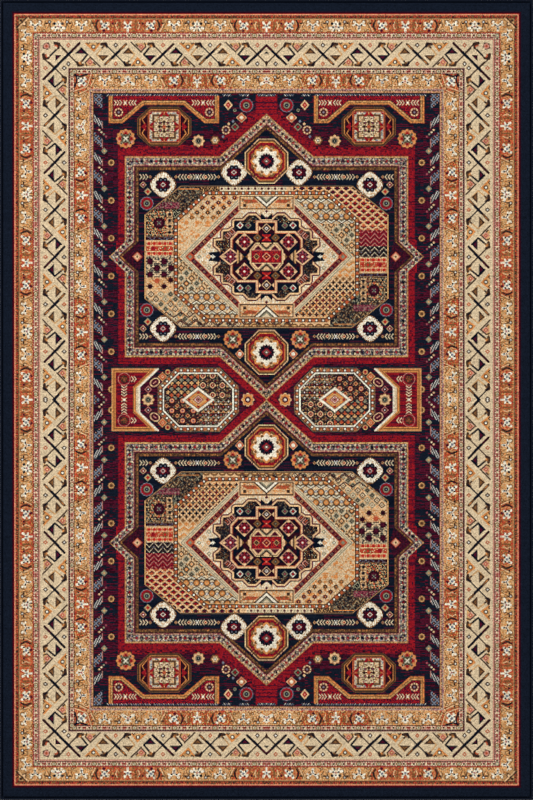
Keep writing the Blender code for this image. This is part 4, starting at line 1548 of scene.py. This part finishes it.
def node(tree, kind, **values):
    """A new shader node of a kind, with settings by attribute name."""
    made = tree.nodes.new(kind)
    for name, value in values.items():
        setattr(made, name, value)
    return made


def math_node(tree, operation, first, second):
    """A Math node on two sockets or numbers."""
    made = node(tree, "ShaderNodeMath", operation=operation)
    for index, value in enumerate((first, second)):
        if isinstance(value, (int, float)):
            made.inputs[index].default_value = value
        else:
            link(tree, value, made.inputs[index])
    return made.outputs[0]


def group_with(name, inputs, outputs):
    """An empty shader group with named sockets, given as (name, kind, default), and its two ends."""
    tree = bpy.data.node_groups.new(name, "ShaderNodeTree")
    for label, kind, default in inputs:
        socket = tree.interface.new_socket(label, in_out="INPUT", socket_type="NodeSocket" + kind)
        socket.default_value = default
    for label, kind in outputs:
        tree.interface.new_socket(label, in_out="OUTPUT", socket_type="NodeSocket" + kind)
    return tree, tree.nodes.new("NodeGroupInput"), tree.nodes.new("NodeGroupOutput")


def fibre_shade_group():
    """Fibre Shade: a yarn colour broken up by fine fibres and slow patches of wear, and a bump height.

    The brightness is one plus Fibre times a fine noise plus Patch times a slow noise."""
    found = bpy.data.node_groups.get("Fibre Shade")
    if found:
        return found
    inputs = (("Yarn", "Color", (0.5, 0.5, 0.5, 1)), ("Fibre", "Float", 0.2),
              ("Fibre Scale", "Float", 900.0), ("Patch", "Float", 0.1), ("Patch Scale", "Float", 6.0))
    tree, start, end = group_with("Fibre Shade", inputs, (("Color", "Color"), ("Height", "Float")))
    place = node(tree, "ShaderNodeTexCoord")
    fine = node(tree, "ShaderNodeTexNoise")
    fine.inputs["Detail"].default_value = 2
    slow = node(tree, "ShaderNodeTexNoise")
    slow.inputs["Detail"].default_value = 3
    for noise, scale in ((fine, "Fibre Scale"), (slow, "Patch Scale")):
        link(tree, place.outputs["Object"], noise.inputs["Vector"])
        link(tree, start.outputs[scale], noise.inputs["Scale"])
    light = 1.0
    for noise, share in ((fine, "Fibre"), (slow, "Patch")):
        swing = math_node(tree, "SUBTRACT", noise.outputs["Fac"], 0.5)
        swing = math_node(tree, "MULTIPLY", swing, 2.0)
        light = math_node(tree, "ADD", math_node(tree, "MULTIPLY", swing, start.outputs[share]), light)
    shaded = node(tree, "ShaderNodeVectorMath", operation="SCALE")
    link(tree, start.outputs["Yarn"], shaded.inputs[0])
    link(tree, light, shaded.inputs["Scale"])
    link(tree, shaded.outputs[0], end.inputs["Color"])
    link(tree, fine.outputs["Fac"], end.inputs["Height"])
    return tree


def ply_groove_shade_group():
    """A shader group for painted shade: dark lines in the grooves between the turns of a yarn, and their
    height.

    The height is the absolute sine of pi times Turn, to the power 0.6. Dark is how dark the painted shade in
    the grooves is."""
    found = bpy.data.node_groups.get("Ply Lines")
    if found:
        return found
    inputs = (("Yarn", "Color", (0.5, 0.5, 0.5, 1)), ("Turn", "Float", 0.0), ("Dark", "Float", 0.4))
    tree, start, end = group_with("Ply Lines", inputs, (("Color", "Color"), ("Height", "Float")))
    wave = math_node(tree, "MULTIPLY", start.outputs["Turn"], float(np.pi))
    wave = math_node(tree, "ABSOLUTE", math_node(tree, "SINE", wave, 0.0), 0.0)
    height = math_node(tree, "POWER", wave, 0.6)
    # Painted shade: the colour is darkened where the height is low, in the grooves between turns.
    dark = math_node(tree, "MULTIPLY", math_node(tree, "SUBTRACT", 1.0, height), start.outputs["Dark"])
    shaded = node(tree, "ShaderNodeVectorMath", operation="SCALE")
    link(tree, start.outputs["Yarn"], shaded.inputs[0])
    link(tree, math_node(tree, "SUBTRACT", 1.0, dark), shaded.inputs["Scale"])
    link(tree, shaded.outputs[0], end.inputs["Color"])
    link(tree, height, end.inputs["Height"])
    return tree


def new_material(name, roughness, specular):
    """A material with a Principled shader, and its tree and shader."""
    material = bpy.data.materials.new(name)
    material.use_nodes = True
    tree = material.node_tree
    shader = tree.nodes["Principled BSDF"]
    shader.inputs["Roughness"].default_value = roughness
    shader.inputs["Specular IOR Level"].default_value = specular
    return material, tree, shader


def bump(tree, shader, height, depth):
    """A Bump node of a depth in metres between a height and the shader's normal."""
    made = node(tree, "ShaderNodeBump")
    made.inputs["Strength"].default_value = 1.0
    made.inputs["Distance"].default_value = depth
    link(tree, height, made.inputs["Height"])
    link(tree, made.outputs["Normal"], shader.inputs["Normal"])


def fibre_shade(tree, fibre, fibre_scale, patch, patch_scale, colour=None):
    """A Fibre Shade group in a material with its values, and the yarn's colour if it is the same all over."""
    shade = node(tree, "ShaderNodeGroup", node_tree=fibre_shade_group())
    values = {"Fibre": fibre, "Fibre Scale": fibre_scale, "Patch": patch, "Patch Scale": patch_scale}
    if colour is not None:
        values["Yarn"] = (*linear(colour), 1)
    for name, value in values.items():
        shade.inputs[name].default_value = value
    return shade


def pile_material(name):
    """Cut wool pile: the tufts' own colours, broken up by fibres, with a soft, rough surface."""
    material, tree, shader = new_material(name, 0.98, 0.02)
    tufts = node(tree, "ShaderNodeAttribute", attribute_name="tuft_colour")
    shade = fibre_shade(tree, 0.12, 700, 0.05, 3.5)
    link(tree, tufts.outputs["Color"], shade.inputs["Yarn"])
    link(tree, shade.outputs["Color"], shader.inputs["Base Color"])
    bump(tree, shader, shade.outputs["Height"], 0.0006)
    return material


def linear(colour):
    """Display values turned to linear ones by the usual two-part curve."""
    values = np.asarray(colour, float)
    return np.where(values <= 0.04045, values / 12.92, ((values + 0.055) / 1.055) ** 2.4)


def yarn_material(name, colour, turn_name, dark, fibre, roughness):
    """Wrapped or twisted yarn: one colour with painted shade, as dark lines in the grooves between turns,
    counted by an attribute.
    """
    material, tree, shader = new_material(name, roughness, 0.03)
    shade = fibre_shade(tree, fibre, 1400, 0.16, 30, colour)
    turns = node(tree, "ShaderNodeAttribute", attribute_name=turn_name)
    # Painted shade in the grooves between the yarn's turns; dark sets how deep it is.
    lines = node(tree, "ShaderNodeGroup", node_tree=ply_groove_shade_group())
    lines.inputs["Dark"].default_value = dark
    link(tree, turns.outputs["Fac"], lines.inputs["Turn"])
    link(tree, shade.outputs["Color"], lines.inputs["Yarn"])
    link(tree, lines.outputs["Color"], shader.inputs["Base Color"])
    bump(tree, shader, shade.outputs["Height"], 0.0002)
    return material


def weave_material(name, colour, pitch, roughness, fibre, dark, relief):
    """A plain weave on Object coordinates: warp and weft yarns pass over each other by turns.

    The height is the larger of two yarns' round tops, each lifted where its checker square is its own. The
    colour is darkened where the height is low, as painted shade in the hollows between the yarns; dark sets
    how deep it is."""
    material, tree, shader = new_material(name, roughness, 0.25)
    place = node(tree, "ShaderNodeTexCoord")
    axes = node(tree, "ShaderNodeSeparateXYZ")
    link(tree, place.outputs["Object"], axes.inputs[0])
    x = math_node(tree, "MULTIPLY", axes.outputs["X"], float(np.pi / pitch))
    y = math_node(tree, "MULTIPLY", axes.outputs["Y"], float(np.pi / pitch))
    round_x = math_node(tree, "ABSOLUTE", math_node(tree, "SINE", x, 0.0), 0.0)
    round_y = math_node(tree, "ABSOLUTE", math_node(tree, "SINE", y, 0.0), 0.0)
    lift = math_node(tree, "MULTIPLY", math_node(tree, "SINE", x, 0.0), math_node(tree, "SINE", y, 0.0))
    lift = math_node(tree, "MULTIPLY", lift, 0.5)
    warp = math_node(tree, "ADD", math_node(tree, "POWER", round_x, 0.5), lift)
    weft = math_node(tree, "SUBTRACT", math_node(tree, "POWER", round_y, 0.5), lift)
    height = math_node(tree, "MAXIMUM", warp, weft)
    shade = fibre_shade(tree, fibre, 500, 0.12, 5, colour)
    # Painted shade: the colour grows darker towards the hollows between the yarns.
    light = math_node(tree, "MULTIPLY", math_node(tree, "SUBTRACT", height, 1.0), dark)
    tone = node(tree, "ShaderNodeVectorMath", operation="SCALE")
    link(tree, shade.outputs["Color"], tone.inputs[0])
    link(tree, math_node(tree, "ADD", light, 1.0), tone.inputs["Scale"])
    link(tree, tone.outputs[0], shader.inputs["Base Color"])
    bump(tree, shader, height, relief)
    return material


# Meshes.

def new_piece(name, replaced, material, vertices, faces, smooth=True):
    """A mesh object from arrays of corners and faces, on the rug's one body, in place of a CAD node."""
    mesh = bpy.data.meshes.new(name)
    mesh.from_pydata(vertices, [], faces)
    mesh.polygons.foreach_set("use_smooth", np.full(len(faces), smooth))
    mesh.materials.append(material)
    mesh.update()
    piece = bpy.data.objects.new(name, mesh)
    bpy.context.scene.collection.objects.link(piece)
    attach(piece, "root")
    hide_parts(replaced)
    return piece


def set_map(mesh, places):
    """Writes one UV place for each face corner, scaled together to fit the unit square."""
    places = places - places.min(0)
    places = 0.002 + places / places.max() * 0.996
    mesh.uv_layers.new(name="OFBake").data.foreach_set("uv", places.astype(np.float32).ravel())


def tube_faces(rows, columns, closed):
    """Quads of a grid of rows of corners; closed joins each row's last corner to its first."""
    i, j = np.meshgrid(np.arange(rows - 1), np.arange(columns if closed else columns - 1), indexing="ij")
    after = (j + 1) % columns
    low, high = i * columns, (i + 1) * columns
    return np.stack((low + j, low + after, high + after, high + j), -1).reshape(-1, 4)


def capped_tube(name, replaced, material, places, section, strips):
    """A closed tube through a grid of places, one row for each section, with a flat face at either end.

    Its map is the tube folded into strips, as given by strip_map, with the two ends beside them."""
    rows, columns = places.shape[:2]
    ids = np.arange(columns)
    ends = [ids[::-1].tolist(), (ids + (rows - 1) * columns).tolist()]
    faces = tube_faces(rows, columns, True).tolist() + ends
    piece = new_piece(name, replaced, material, places.reshape(-1, 3), faces)
    width = section[:, 0].max() * 1.2
    first, last = section[::-1] - (width, 0), section - (width * 2, 0)
    set_map(piece.data, np.concatenate((strip_map(rows, columns, *strips), first, last)))
    return piece


def strip_map(rows, columns, length, girth, wraps):
    """UV places of a long grid's quads, with the length folded into rows that lie side by side."""
    per_row = int(np.ceil((rows - 1) / wraps))
    i, j = (a.ravel() for a in np.meshgrid(np.arange(rows - 1), np.arange(columns), indexing="ij"))
    u = (i % per_row) * length / (rows - 1)
    v = (i // per_row) * girth * 1.1 + j * girth / columns
    du, dv = length / (rows - 1), girth / columns
    corners = ((0, 0), (0, dv), (du, dv), (du, 0))
    return np.stack([np.stack((u + a, v + b), -1) for a, b in corners], 1).reshape(-1, 2)


# The pile.

def smooth_noise(random, rows, columns, step):
    """A slow random wave from -1 to 1: heights on a coarse grid, joined by a smooth curve both ways."""
    knots = random.uniform(-1, 1, (int(rows / step) + 3, int(columns / step) + 3))
    def blend(count):
        place = np.arange(count) / step
        whole = place.astype(int)
        share = place - whole
        return whole, share * share * (3 - 2 * share)
    i, s = blend(rows)
    j, t = blend(columns)
    s, t = s[:, None], t[None, :]
    a, b = knots[i][:, j], knots[i][:, j + 1]
    c, d = knots[i + 1][:, j], knots[i + 1][:, j + 1]
    return (a * (1 - t) + b * t) * (1 - s) + (c * (1 - t) + d * t) * s


def beside_mean(values):
    """The mean of each tuft's own colour and those of the eight tufts round it."""
    for axis in (0, 1):
        values = (np.roll(values, 1, axis) + values + np.roll(values, -1, axis)) / 3
    return values


class PileGrid:
    """The grid of tufts: its places, each tuft's colour and height, and the pile piece it belongs to."""

    def __init__(self, sizes, wools):
        self.pitch = sizes.tuft_pitch
        random = np.random.default_rng(sizes.seed)
        span = CAD_HIGH[:2] - CAD_LOW[:2]
        self.columns, self.rows = (int(round(side / self.pitch)) for side in span)
        tufts = whole_rug(wools, span[0] * 500, span[1] * 500)
        i = np.minimum(np.arange(self.rows) * tufts.shape[0] // self.rows, tufts.shape[0] - 1)
        j = np.minimum(np.arange(self.columns) * tufts.shape[1] // self.columns, tufts.shape[1] - 1)
        shade = 1 + random.normal(0, sizes.tuft_shade, (self.rows, self.columns))
        shade += random.normal(0, sizes.row_shade, (self.rows, 1))
        shade += 0.04 * smooth_noise(random, self.rows, self.columns, 24)
        tufts = tufts[i][:, j]
        tufts = np.clip(tufts + sizes.outline_contrast * (tufts - beside_mean(tufts)), 0.03, 1)
        self.colours = linear(tufts) * np.clip(shade, 0.4, 1.7)[:, :, None]
        self.x = self.edge_places(CAD_LOW[0], CAD_HIGH[0], self.columns)
        self.y = self.edge_places(CAD_LOW[1], CAD_HIGH[1], self.rows)
        jitter = random.uniform(-1, 1, (self.rows + 1, self.columns + 1))
        waves = smooth_noise(random, self.rows + 1, self.columns + 1, 90)
        self.heights = PILE_TOP + jitter * sizes.tip_jitter + waves * sizes.wave_height
        self.owners = self.find_owners()

    def edge_places(self, low, high, count):
        """Lines between tufts at an even pitch, with those outside the pile moved to its edge."""
        return np.clip(np.linspace(low, high, count + 1), low + PILE_MARGIN, high - PILE_MARGIN)

    def find_owners(self):
        """The pile piece of each tuft: the CAD solid whose top face holds the tuft's middle."""
        x, y = (self.x[1:] + self.x[:-1]) / 2, (self.y[1:] + self.y[:-1]) / 2
        owners = np.full((self.rows, self.columns), -1)
        self.names = sorted(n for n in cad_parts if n.startswith(tuple(PILE_SLOTS)))
        for index, name in enumerate(self.names):
            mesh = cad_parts[name].data
            mesh.calc_loop_triangles()
            places = np.array([v.co for v in mesh.vertices])
            corners = places[np.array([t.vertices for t in mesh.loop_triangles])]
            for triangle in corners[(corners[:, :, 2] > PILE_TOP - 1e-4).all(1)][:, :, :2]:
                rows = slice(*np.searchsorted(y, (triangle[:, 1].min(), triangle[:, 1].max())))
                columns = slice(*np.searchsorted(x, (triangle[:, 0].min(), triangle[:, 0].max())))
                u, v = np.meshgrid(x[columns], y[rows])
                inside = within([tuple(p) for p in triangle], u, v)
                owners[rows, columns][inside] = index
        real = (np.diff(self.y) > 0)[:, None] & (np.diff(self.x) > 0)[None, :]
        while (owners[real] < 0).any():
            for shift, axis in ((1, 0), (-1, 0), (1, 1), (-1, 1)):
                beside = np.roll(owners, shift, axis)
                owners = np.where((owners < 0) & real, beside, owners)
        return owners


def pile_piece(grid, index, material):
    """One pile piece: a quad for each tuft at the pile's height, and walls down to its base all round."""
    own = grid.owners == index
    row, column = np.nonzero(own)
    stride = grid.columns + 1
    first = row * stride + column
    quads = np.stack((first, first + 1, first + stride + 1, first + stride), 1)
    colours = grid.colours[row, column]
    padded_own = np.pad(own, 1)
    walls, wall_colours = [], []
    for dr, dc, a, b in ((-1, 0, 0, 1), (0, 1, 1, 2), (1, 0, 2, 3), (0, -1, 3, 0)):
        open_side = ~padded_own[row + 1 + dr, column + 1 + dc]
        walls.append(quads[open_side][:, (a, b)])
        wall_colours.append(colours[open_side])
    walls = np.concatenate(walls)
    tops, top_faces = np.unique(quads, return_inverse=True)
    feet, foot_faces = np.unique(walls, return_inverse=True)
    top_faces, foot_faces = top_faces.reshape(-1, 4), foot_faces.reshape(-1, 2) + len(tops)
    wall_faces = np.concatenate((foot_faces, np.searchsorted(tops, walls)[:, ::-1]), 1)
    ids = np.concatenate((tops, feet))
    r, c = ids // stride, ids % stride
    z = grid.heights[r, c]
    z[len(tops):] = PILE_BASE
    vertices = np.stack((grid.x[c], grid.y[r], z), 1)
    faces = np.concatenate((top_faces, wall_faces))
    name = grid.names[index]
    piece = new_piece(name + "_wool", name, material, vertices, faces, smooth=False)
    attribute = piece.data.attributes.new("tuft_colour", "FLOAT_COLOR", "FACE")
    values = np.ones((len(faces), 4), np.float32)
    values[:, :3] = np.concatenate([colours] + wall_colours)
    attribute.data.foreach_set("color", values.ravel())
    set_map(piece.data, pile_map(row, column, len(walls)))


def pile_map(row, column, wall_count):
    """UV places: each tuft a unit square, long pieces folded into rows, and the walls in rows below."""
    row, column = row - row.min(), column - column.min()
    length, width = max(row.max(), column.max()) + 1, min(row.max(), column.max()) + 1
    along_row, across = (row, column) if row.max() >= column.max() else (column, row)
    folds = max(1, int(round(np.sqrt(length / width))))
    per_fold = int(np.ceil(length / folds))
    u, v = along_row % per_fold, across + (along_row // per_fold) * (width + 1)
    k = np.arange(wall_count)
    wall_u, wall_v = (k % (2 * per_fold)) * 0.5, -1.0 - (k // (2 * per_fold)) * 0.5
    square = np.array(((0, 0), (1, 0), (1, 1), (0, 1)))
    if row.max() >= column.max():
        square = square[:, ::-1]
    tops = np.stack((u, v), 1)[:, None, :] + square
    small = np.array(((0, 0), (0.45, 0), (0.45, 0.45), (0, 0.45)))
    sides = np.stack((wall_u, wall_v), 1)[:, None, :] + small
    return np.concatenate((tops, sides)).reshape(-1, 2)


# The edge, the weave and the backing.

def side_axes(side):
    """For one side of the rug: its start corner, the ways along it and inward, and its length."""
    low, high = CAD_LOW[:2], CAD_HIGH[:2]
    corners = {"near": (low, (high[0], low[1])), "right": ((high[0], low[1]), high),
               "far": (high, (low[0], high[1])), "left": ((low[0], high[1]), low)}
    start, end = (np.array(corner, float) for corner in corners[side])
    way = (end - start) / np.hypot(*(end - start))
    return start, way, np.array((-way[1], way[0])), float(np.hypot(*(end - start)))


def lay_along(side, s, inward, z):
    """Places along a side: s from its start corner, inward from the outer edge, mitred at both corners.

    The corner cut is at 45 degrees, so the run at a depth is shortened by that depth at both ends."""
    start, way, across, length = side_axes(side)
    run = inward + s * (length - 2 * inward)
    places = start + run[..., None] * way + inward[..., None] * across
    return np.concatenate((places, z[..., None]), -1)


def sleeve_section():
    """The overcast edge's section as (inward, z): outside from lip to lip, inside back, and its middle.

    The outside is a circle round the cord that ends in a flat lip above and one below the weave's edge."""
    low, high = node_box("edge_overcasting_near")
    cord_low, cord_high = node_box("edge_cord_near")
    reach_in, radius = (high - low)[1], cord_low[1] - low[1] + (cord_high - cord_low)[1] / 2
    hollow = (cord_high - cord_low)[1] / 2 + 0.0003
    lip = node_box("latex_back_coat")[1][2]
    upper = PILE_BASE + 0.001
    turn = np.linspace(np.arcsin((upper - radius) / radius), 1.5 * np.pi, 12)
    outside = np.stack((radius + radius * np.cos(turn), radius + radius * np.sin(turn)), 1)
    outside = np.concatenate((((reach_in, upper),), outside, ((reach_in, low[2]),)))
    back = np.linspace(1.5 * np.pi, np.arcsin((PILE_BASE - radius) / hollow), 5)
    inside = np.stack((radius + hollow * np.cos(back), radius + hollow * np.sin(back)), 1)
    inside = np.concatenate((((reach_in, lip),), inside, ((reach_in, PILE_BASE),)))
    return outside, inside, (radius, radius)


def overcast_edge(side, sizes, material):
    """Yarn wrapped round one side: the sleeve's section carried along the edge and ribbed by the turns.

    Each outside corner moves towards the cord by the wrap depth times one minus the absolute sine of pi
    times the turn count, which rises along the edge by one a pitch and round the section by the slant."""
    outside, inside, middle = sleeve_section()
    length = side_axes(side)[3]
    turns = int(round(length / sizes.wrap_pitch))
    s = np.linspace(0, 1, turns * 4 + 1)
    path = np.concatenate(([0], np.cumsum(np.hypot(*np.diff(outside, axis=0).T))))
    count = s[:, None] * turns + path[None, :] / path[-1] * sizes.wrap_slant / sizes.wrap_pitch
    groove = sizes.wrap_depth * (1 - abs(np.sin(np.pi * count)) ** 0.7)
    away = outside - middle
    away = away / np.hypot(*away.T)[:, None]
    away[0], away[-1] = (0, 1), (0, -1)
    inward = outside[None, :, 0] - groove * away[None, :, 0]
    z = outside[None, :, 1] - groove * away[None, :, 1]
    rest = np.broadcast_to(inside[None], (len(s),) + inside.shape)
    inward = np.concatenate((inward, rest[:, :, 0]), 1)
    z = np.concatenate((z, rest[:, :, 1]), 1)
    places = lay_along(side, np.broadcast_to(s[:, None], z.shape), inward, z)
    section = np.concatenate((outside, inside))
    piece = capped_tube("overcast_yarn_" + side, "edge_overcasting_" + side, material,
                        places, section, (length, path[-1] * 1.6, 8))
    turn_counts = np.concatenate((count, np.broadcast_to(count[:, -1:], (len(s), len(inside)))), 1)
    write_values(piece.data, "wrap_turn", turn_counts)


def write_values(mesh, name, values):
    """Stores one number for each corner of a mesh."""
    mesh.attributes.new(name, "FLOAT", "POINT").data.foreach_set("value", values.astype(np.float32).ravel())


def edge_cord(side, sizes, material):
    """The three-ply cord inside one side's sleeve: a tube whose radius has three lobes that turn along it.

    The radius is its full size times the sum of 0.84 and 0.16 times the absolute cosine of one and a
    half times the turned angle."""
    low, high = node_box("edge_cord_near")
    radius, inward = (high - low)[1] / 2, (high + low)[1] / 2 - CAD_LOW[1]
    height = (high + low)[2] / 2
    length = side_axes(side)[3]
    s = np.linspace(0, 1, int(length / sizes.cord_twist * 8) + 1)[:, None]
    angle = np.linspace(0, 2 * np.pi, 12, endpoint=False)[None, :]
    turned = angle - 2 * np.pi * s * length / sizes.cord_twist
    ply = abs(np.cos(1.5 * turned))
    r = radius * (0.84 + 0.16 * ply)
    across, z = inward + r * np.cos(angle), height + r * np.sin(angle)
    places = lay_along(side, s + 0 * angle, across, z)
    section = np.stack((across[0], z[0]), 1)
    piece = capped_tube("three_ply_cord_" + side, "edge_cord_" + side, material,
                        places, section, (length, 2 * np.pi * radius, 10))
    write_values(piece.data, "ply_turn", 1.5 * turned / np.pi + 0.5)


def woven_slab(name, replaced, material, columns, rows, relief_above, relief_below):
    """A closed flat slab in a CAD node's box: a grid above and one below, joined round their rims.

    relief_above and relief_below are functions of x and y for how far each face is moved along z."""
    low, high = node_box(replaced)
    x, y = np.linspace(low[0], high[0], columns), np.linspace(low[1], high[1], rows)
    u, v = np.meshgrid(x, y)
    above = np.stack((u, v, high[2] + relief_above(u, v)), -1).reshape(-1, 3)
    below = np.stack((u, v, low[2] + relief_below(u, v)), -1).reshape(-1, 3)
    up = tube_faces(rows, columns, False)
    down = up[:, ::-1] + rows * columns
    ids = np.arange(rows * columns).reshape(rows, columns)
    rim = np.concatenate((ids[0, :-1], ids[:-1, -1], ids[-1, :0:-1], ids[:0:-1, 0]))
    after = np.roll(rim, -1)
    offset = rows * columns
    walls = np.stack((rim + offset, after + offset, after, rim), 1)
    faces = np.concatenate((up, down, walls))
    vertices = np.concatenate((above, below))
    piece = new_piece(name, replaced, material, vertices, faces)
    flat = vertices[faces][:, :, :2] - low[:2]
    flat[len(up):len(up) * 2, :, 0] += (high - low)[0] * 1.01
    k = np.arange(len(walls))
    size = (high - low)[0] / len(walls)
    square = np.array(((0, 0), (0.9, 0), (0.9, 0.9), (0, 0.9))) * size
    flat[len(up) * 2:] = np.stack((k * size, np.full(len(walls), -2 * size)), 1)[:, None] + square
    set_map(piece.data, flat.reshape(-1, 2))
    return piece


# Operators.

class RUG_OT_pile(bpy.types.Operator):
    """Builds the tufted pile, one piece for each area of the pattern"""

    bl_idname = "rug.pile"
    bl_label = "Pile"

    def execute(self, context):
        sizes, dyes = context.scene.rug_pile, context.scene.rug_wools
        wools = {name: np.array(getattr(dyes, name)) for name in WOOLS}
        grid = PileGrid(sizes, wools)
        materials = {}
        for index, name in enumerate(grid.names):
            slot = next(s for start, s in PILE_SLOTS.items() if name.startswith(start))
            if slot not in materials:
                materials[slot] = pile_material(slot.replace("_", " "))
            pile_piece(grid, index, materials[slot])
        return {"FINISHED"}


class RUG_OT_overcast_edge(bpy.types.Operator):
    """Wraps yarn round the four sides of the rug"""

    bl_idname = "rug.overcast_edge"
    bl_label = "Overcast edge"

    def execute(self, context):
        sizes = context.scene.rug_edge
        # 0.45 is how dark the painted shade in the grooves between the wrapped turns is.
        material = yarn_material("overcast wool yarn", sizes.yarn_colour, "wrap_turn", 0.45, 0.25, 0.85)
        for side in SIDES:
            overcast_edge(side, sizes, material)
        return {"FINISHED"}


class RUG_OT_edge_cords(bpy.types.Operator):
    """Lays a three-ply cord inside each side of the overcast edge"""

    bl_idname = "rug.edge_cords"
    bl_label = "Edge cords"

    def execute(self, context):
        sizes = context.scene.rug_edge
        # 0.5 is how dark the painted shade in the grooves between the cord's plies is.
        material = yarn_material("twisted cotton cord", sizes.cord_colour, "ply_turn", 0.5, 0.2, 0.9)
        for side in SIDES:
            edge_cord(side, sizes, material)
        return {"FINISHED"}


class RUG_OT_ground_weave(bpy.types.Operator):
    bl_idname = "rug.ground_weave"
    bl_label = "Ground weave"

    def execute(self, context):
        sizes = context.scene.rug_back
        # 0.45 is how dark the painted shade in the jute weave's hollows is.
        material = weave_material("jute ground weave", sizes.jute_colour, 0.005, 0.95, 0.25, 0.45, 0.0008)
        low, high = node_box("ground_weave")
        span = high - low
        columns, rows = (int(span[i] / sizes.weft_pitch) + 1 for i in (0, 1))
        wave = lambda u: np.sin(u * WEAVE_WAVES)
        ribs = lambda u, v: -sizes.weave_relief * (0.5 - 0.5 * wave(u) * wave(v))
        weave = woven_slab("jute_weave", "ground_weave", material, columns, rows, ribs,
                           lambda u, v: -ribs(u, v))
        return {"FINISHED"}


class RUG_OT_backing(bpy.types.Operator):
    """Spreads the latex coat on the back of the rug"""

    bl_idname = "rug.backing"
    bl_label = "Latex backing"

    def execute(self, context):
        sizes = context.scene.rug_back
        # 0.12 is how dark the painted shade in the hollows of the latex coat's weave is.
        material = weave_material("latex back coat", sizes.latex_colour, 0.0036, 0.7, 0.08, 0.12, 0.0005)
        low, high = node_box("latex_back_coat")
        columns, rows = (int((high - low)[i] / COAT_GRID) + 1 for i in (0, 1))
        def swell(u, v):
            return COAT_SWELL * np.sin(u * 37 + 2 * np.sin(v * 11)) * np.sin(v * 29 + np.sin(u * 17))
        woven_slab("latex_coat", "latex_back_coat", material, columns, rows, swell,
                   lambda u, v: COAT_SWELL + swell(v, u))
        return {"FINISHED"}


class RUG_OT_stage(bpy.types.Operator):
    """Makes the floor, the lights and the camera straight above the rug"""

    bl_idname = "rug.stage"
    bl_label = "Stage"

    def execute(self, context):
        settings, scene = context.scene.rug_stage, context.scene
        scene.view_settings.view_transform = "Standard"
        mesh = bpy.data.meshes.new("floor")
        corners = [(x, y, 0) for x, y in box_points(-FLOOR_REACH, -FLOOR_REACH, FLOOR_REACH, FLOOR_REACH)]
        mesh.from_pydata(corners, [], [(0, 1, 2, 3)])
        material, tree, shader = new_material("plain floor", 0.8, 0.2)
        shader.inputs["Base Color"].default_value = (*linear(settings.floor_colour), 1)
        mesh.materials.append(material)
        floor = bpy.data.objects.new("floor", mesh)
        scene.collection.objects.link(floor)
        floor.location.z = CAD_LOW[2] - FLOOR_GAP
        floor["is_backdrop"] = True
        world = bpy.data.worlds.new("soft studio light")
        world.use_nodes = True
        sky = world.node_tree.nodes["Background"]
        sky.inputs["Color"].default_value = (1, 1, 1, 1)
        sky.inputs["Strength"].default_value = settings.sky_light
        scene.world = world
        lamp = bpy.data.lights.new("key lamp", "AREA")
        lamp.energy, lamp.size = settings.key_light, LAMP_SIZE
        key = bpy.data.objects.new("key lamp", lamp)
        key.location = LAMP_PLACE
        key.rotation_mode = "QUATERNION"
        key.rotation_quaternion = (-key.location).to_track_quat("-Z", "Y")
        scene.collection.objects.link(key)
        lens = bpy.data.cameras.new("camera")
        lens.lens, lens.sensor_width = settings.lens, SENSOR_SIZE
        camera = bpy.data.objects.new("camera", lens)
        camera.location = (*(CAD_LOW + CAD_HIGH)[:2] / 2, 0)
        camera.location.y -= VIEW_SHIFT
        length_seen = (CAD_HIGH - CAD_LOW)[1] * VIEW_SHARE
        camera.location.z = CAD_HIGH[2] + length_seen / 2 / (SENSOR_SIZE / 2 / settings.lens)
        lens.clip_end = 100
        scene.collection.objects.link(camera)
        scene.camera = camera
        return {"FINISHED"}


class RUG_PT_panel(bpy.types.Panel):
    """The rug's operators and settings in the 3D view's sidebar"""

    bl_idname = "RUG_PT_panel"
    bl_label = "Area Rug"
    bl_space_type = "VIEW_3D"
    bl_region_type = "UI"
    bl_category = "Rug"

    def draw(self, context):
        for operator, group in BUILD_ORDER:
            box = self.layout.box()
            box.operator(operator.bl_idname)
            settings = getattr(context.scene, group)
            for name in settings.bl_rna.properties.keys():
                if name not in ("rna_type", "name"):
                    box.prop(settings, name)
        box = self.layout.box()
        for name in WOOLS:
            box.prop(context.scene.rug_wools, name)


BUILD_ORDER = (
    (RUG_OT_pile, "rug_pile"), (RUG_OT_overcast_edge, "rug_edge"), (RUG_OT_edge_cords, "rug_edge"),
    (RUG_OT_backing, "rug_back"), (RUG_OT_ground_weave, "rug_back"), (RUG_OT_stage, "rug_stage"),
)
SETTINGS = {
    "rug_wools": RugWools, "rug_pile": RugPileSizes, "rug_edge": RugEdgeSizes, "rug_back": RugBackSizes,
    "rug_stage": RugStageSettings,
}


def register():
    for group in SETTINGS.values():
        bpy.utils.register_class(group)
    for name, group in SETTINGS.items():
        setattr(bpy.types.Scene, name, bpy.props.PointerProperty(type=group))
    for operator, _ in BUILD_ORDER:
        bpy.utils.register_class(operator)
    bpy.utils.register_class(RUG_PT_panel)


def unregister():
    bpy.utils.unregister_class(RUG_PT_panel)
    for operator, _ in reversed(BUILD_ORDER):
        bpy.utils.unregister_class(operator)
    for name, group in SETTINGS.items():
        delattr(bpy.types.Scene, name)
        bpy.utils.unregister_class(group)


def main():
    """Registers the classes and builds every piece."""
    register()
    for operator, _ in BUILD_ORDER:
        part, name = operator.bl_idname.split(".")
        getattr(getattr(bpy.ops, part), name)()


if __name__ == "__main__":
    main()
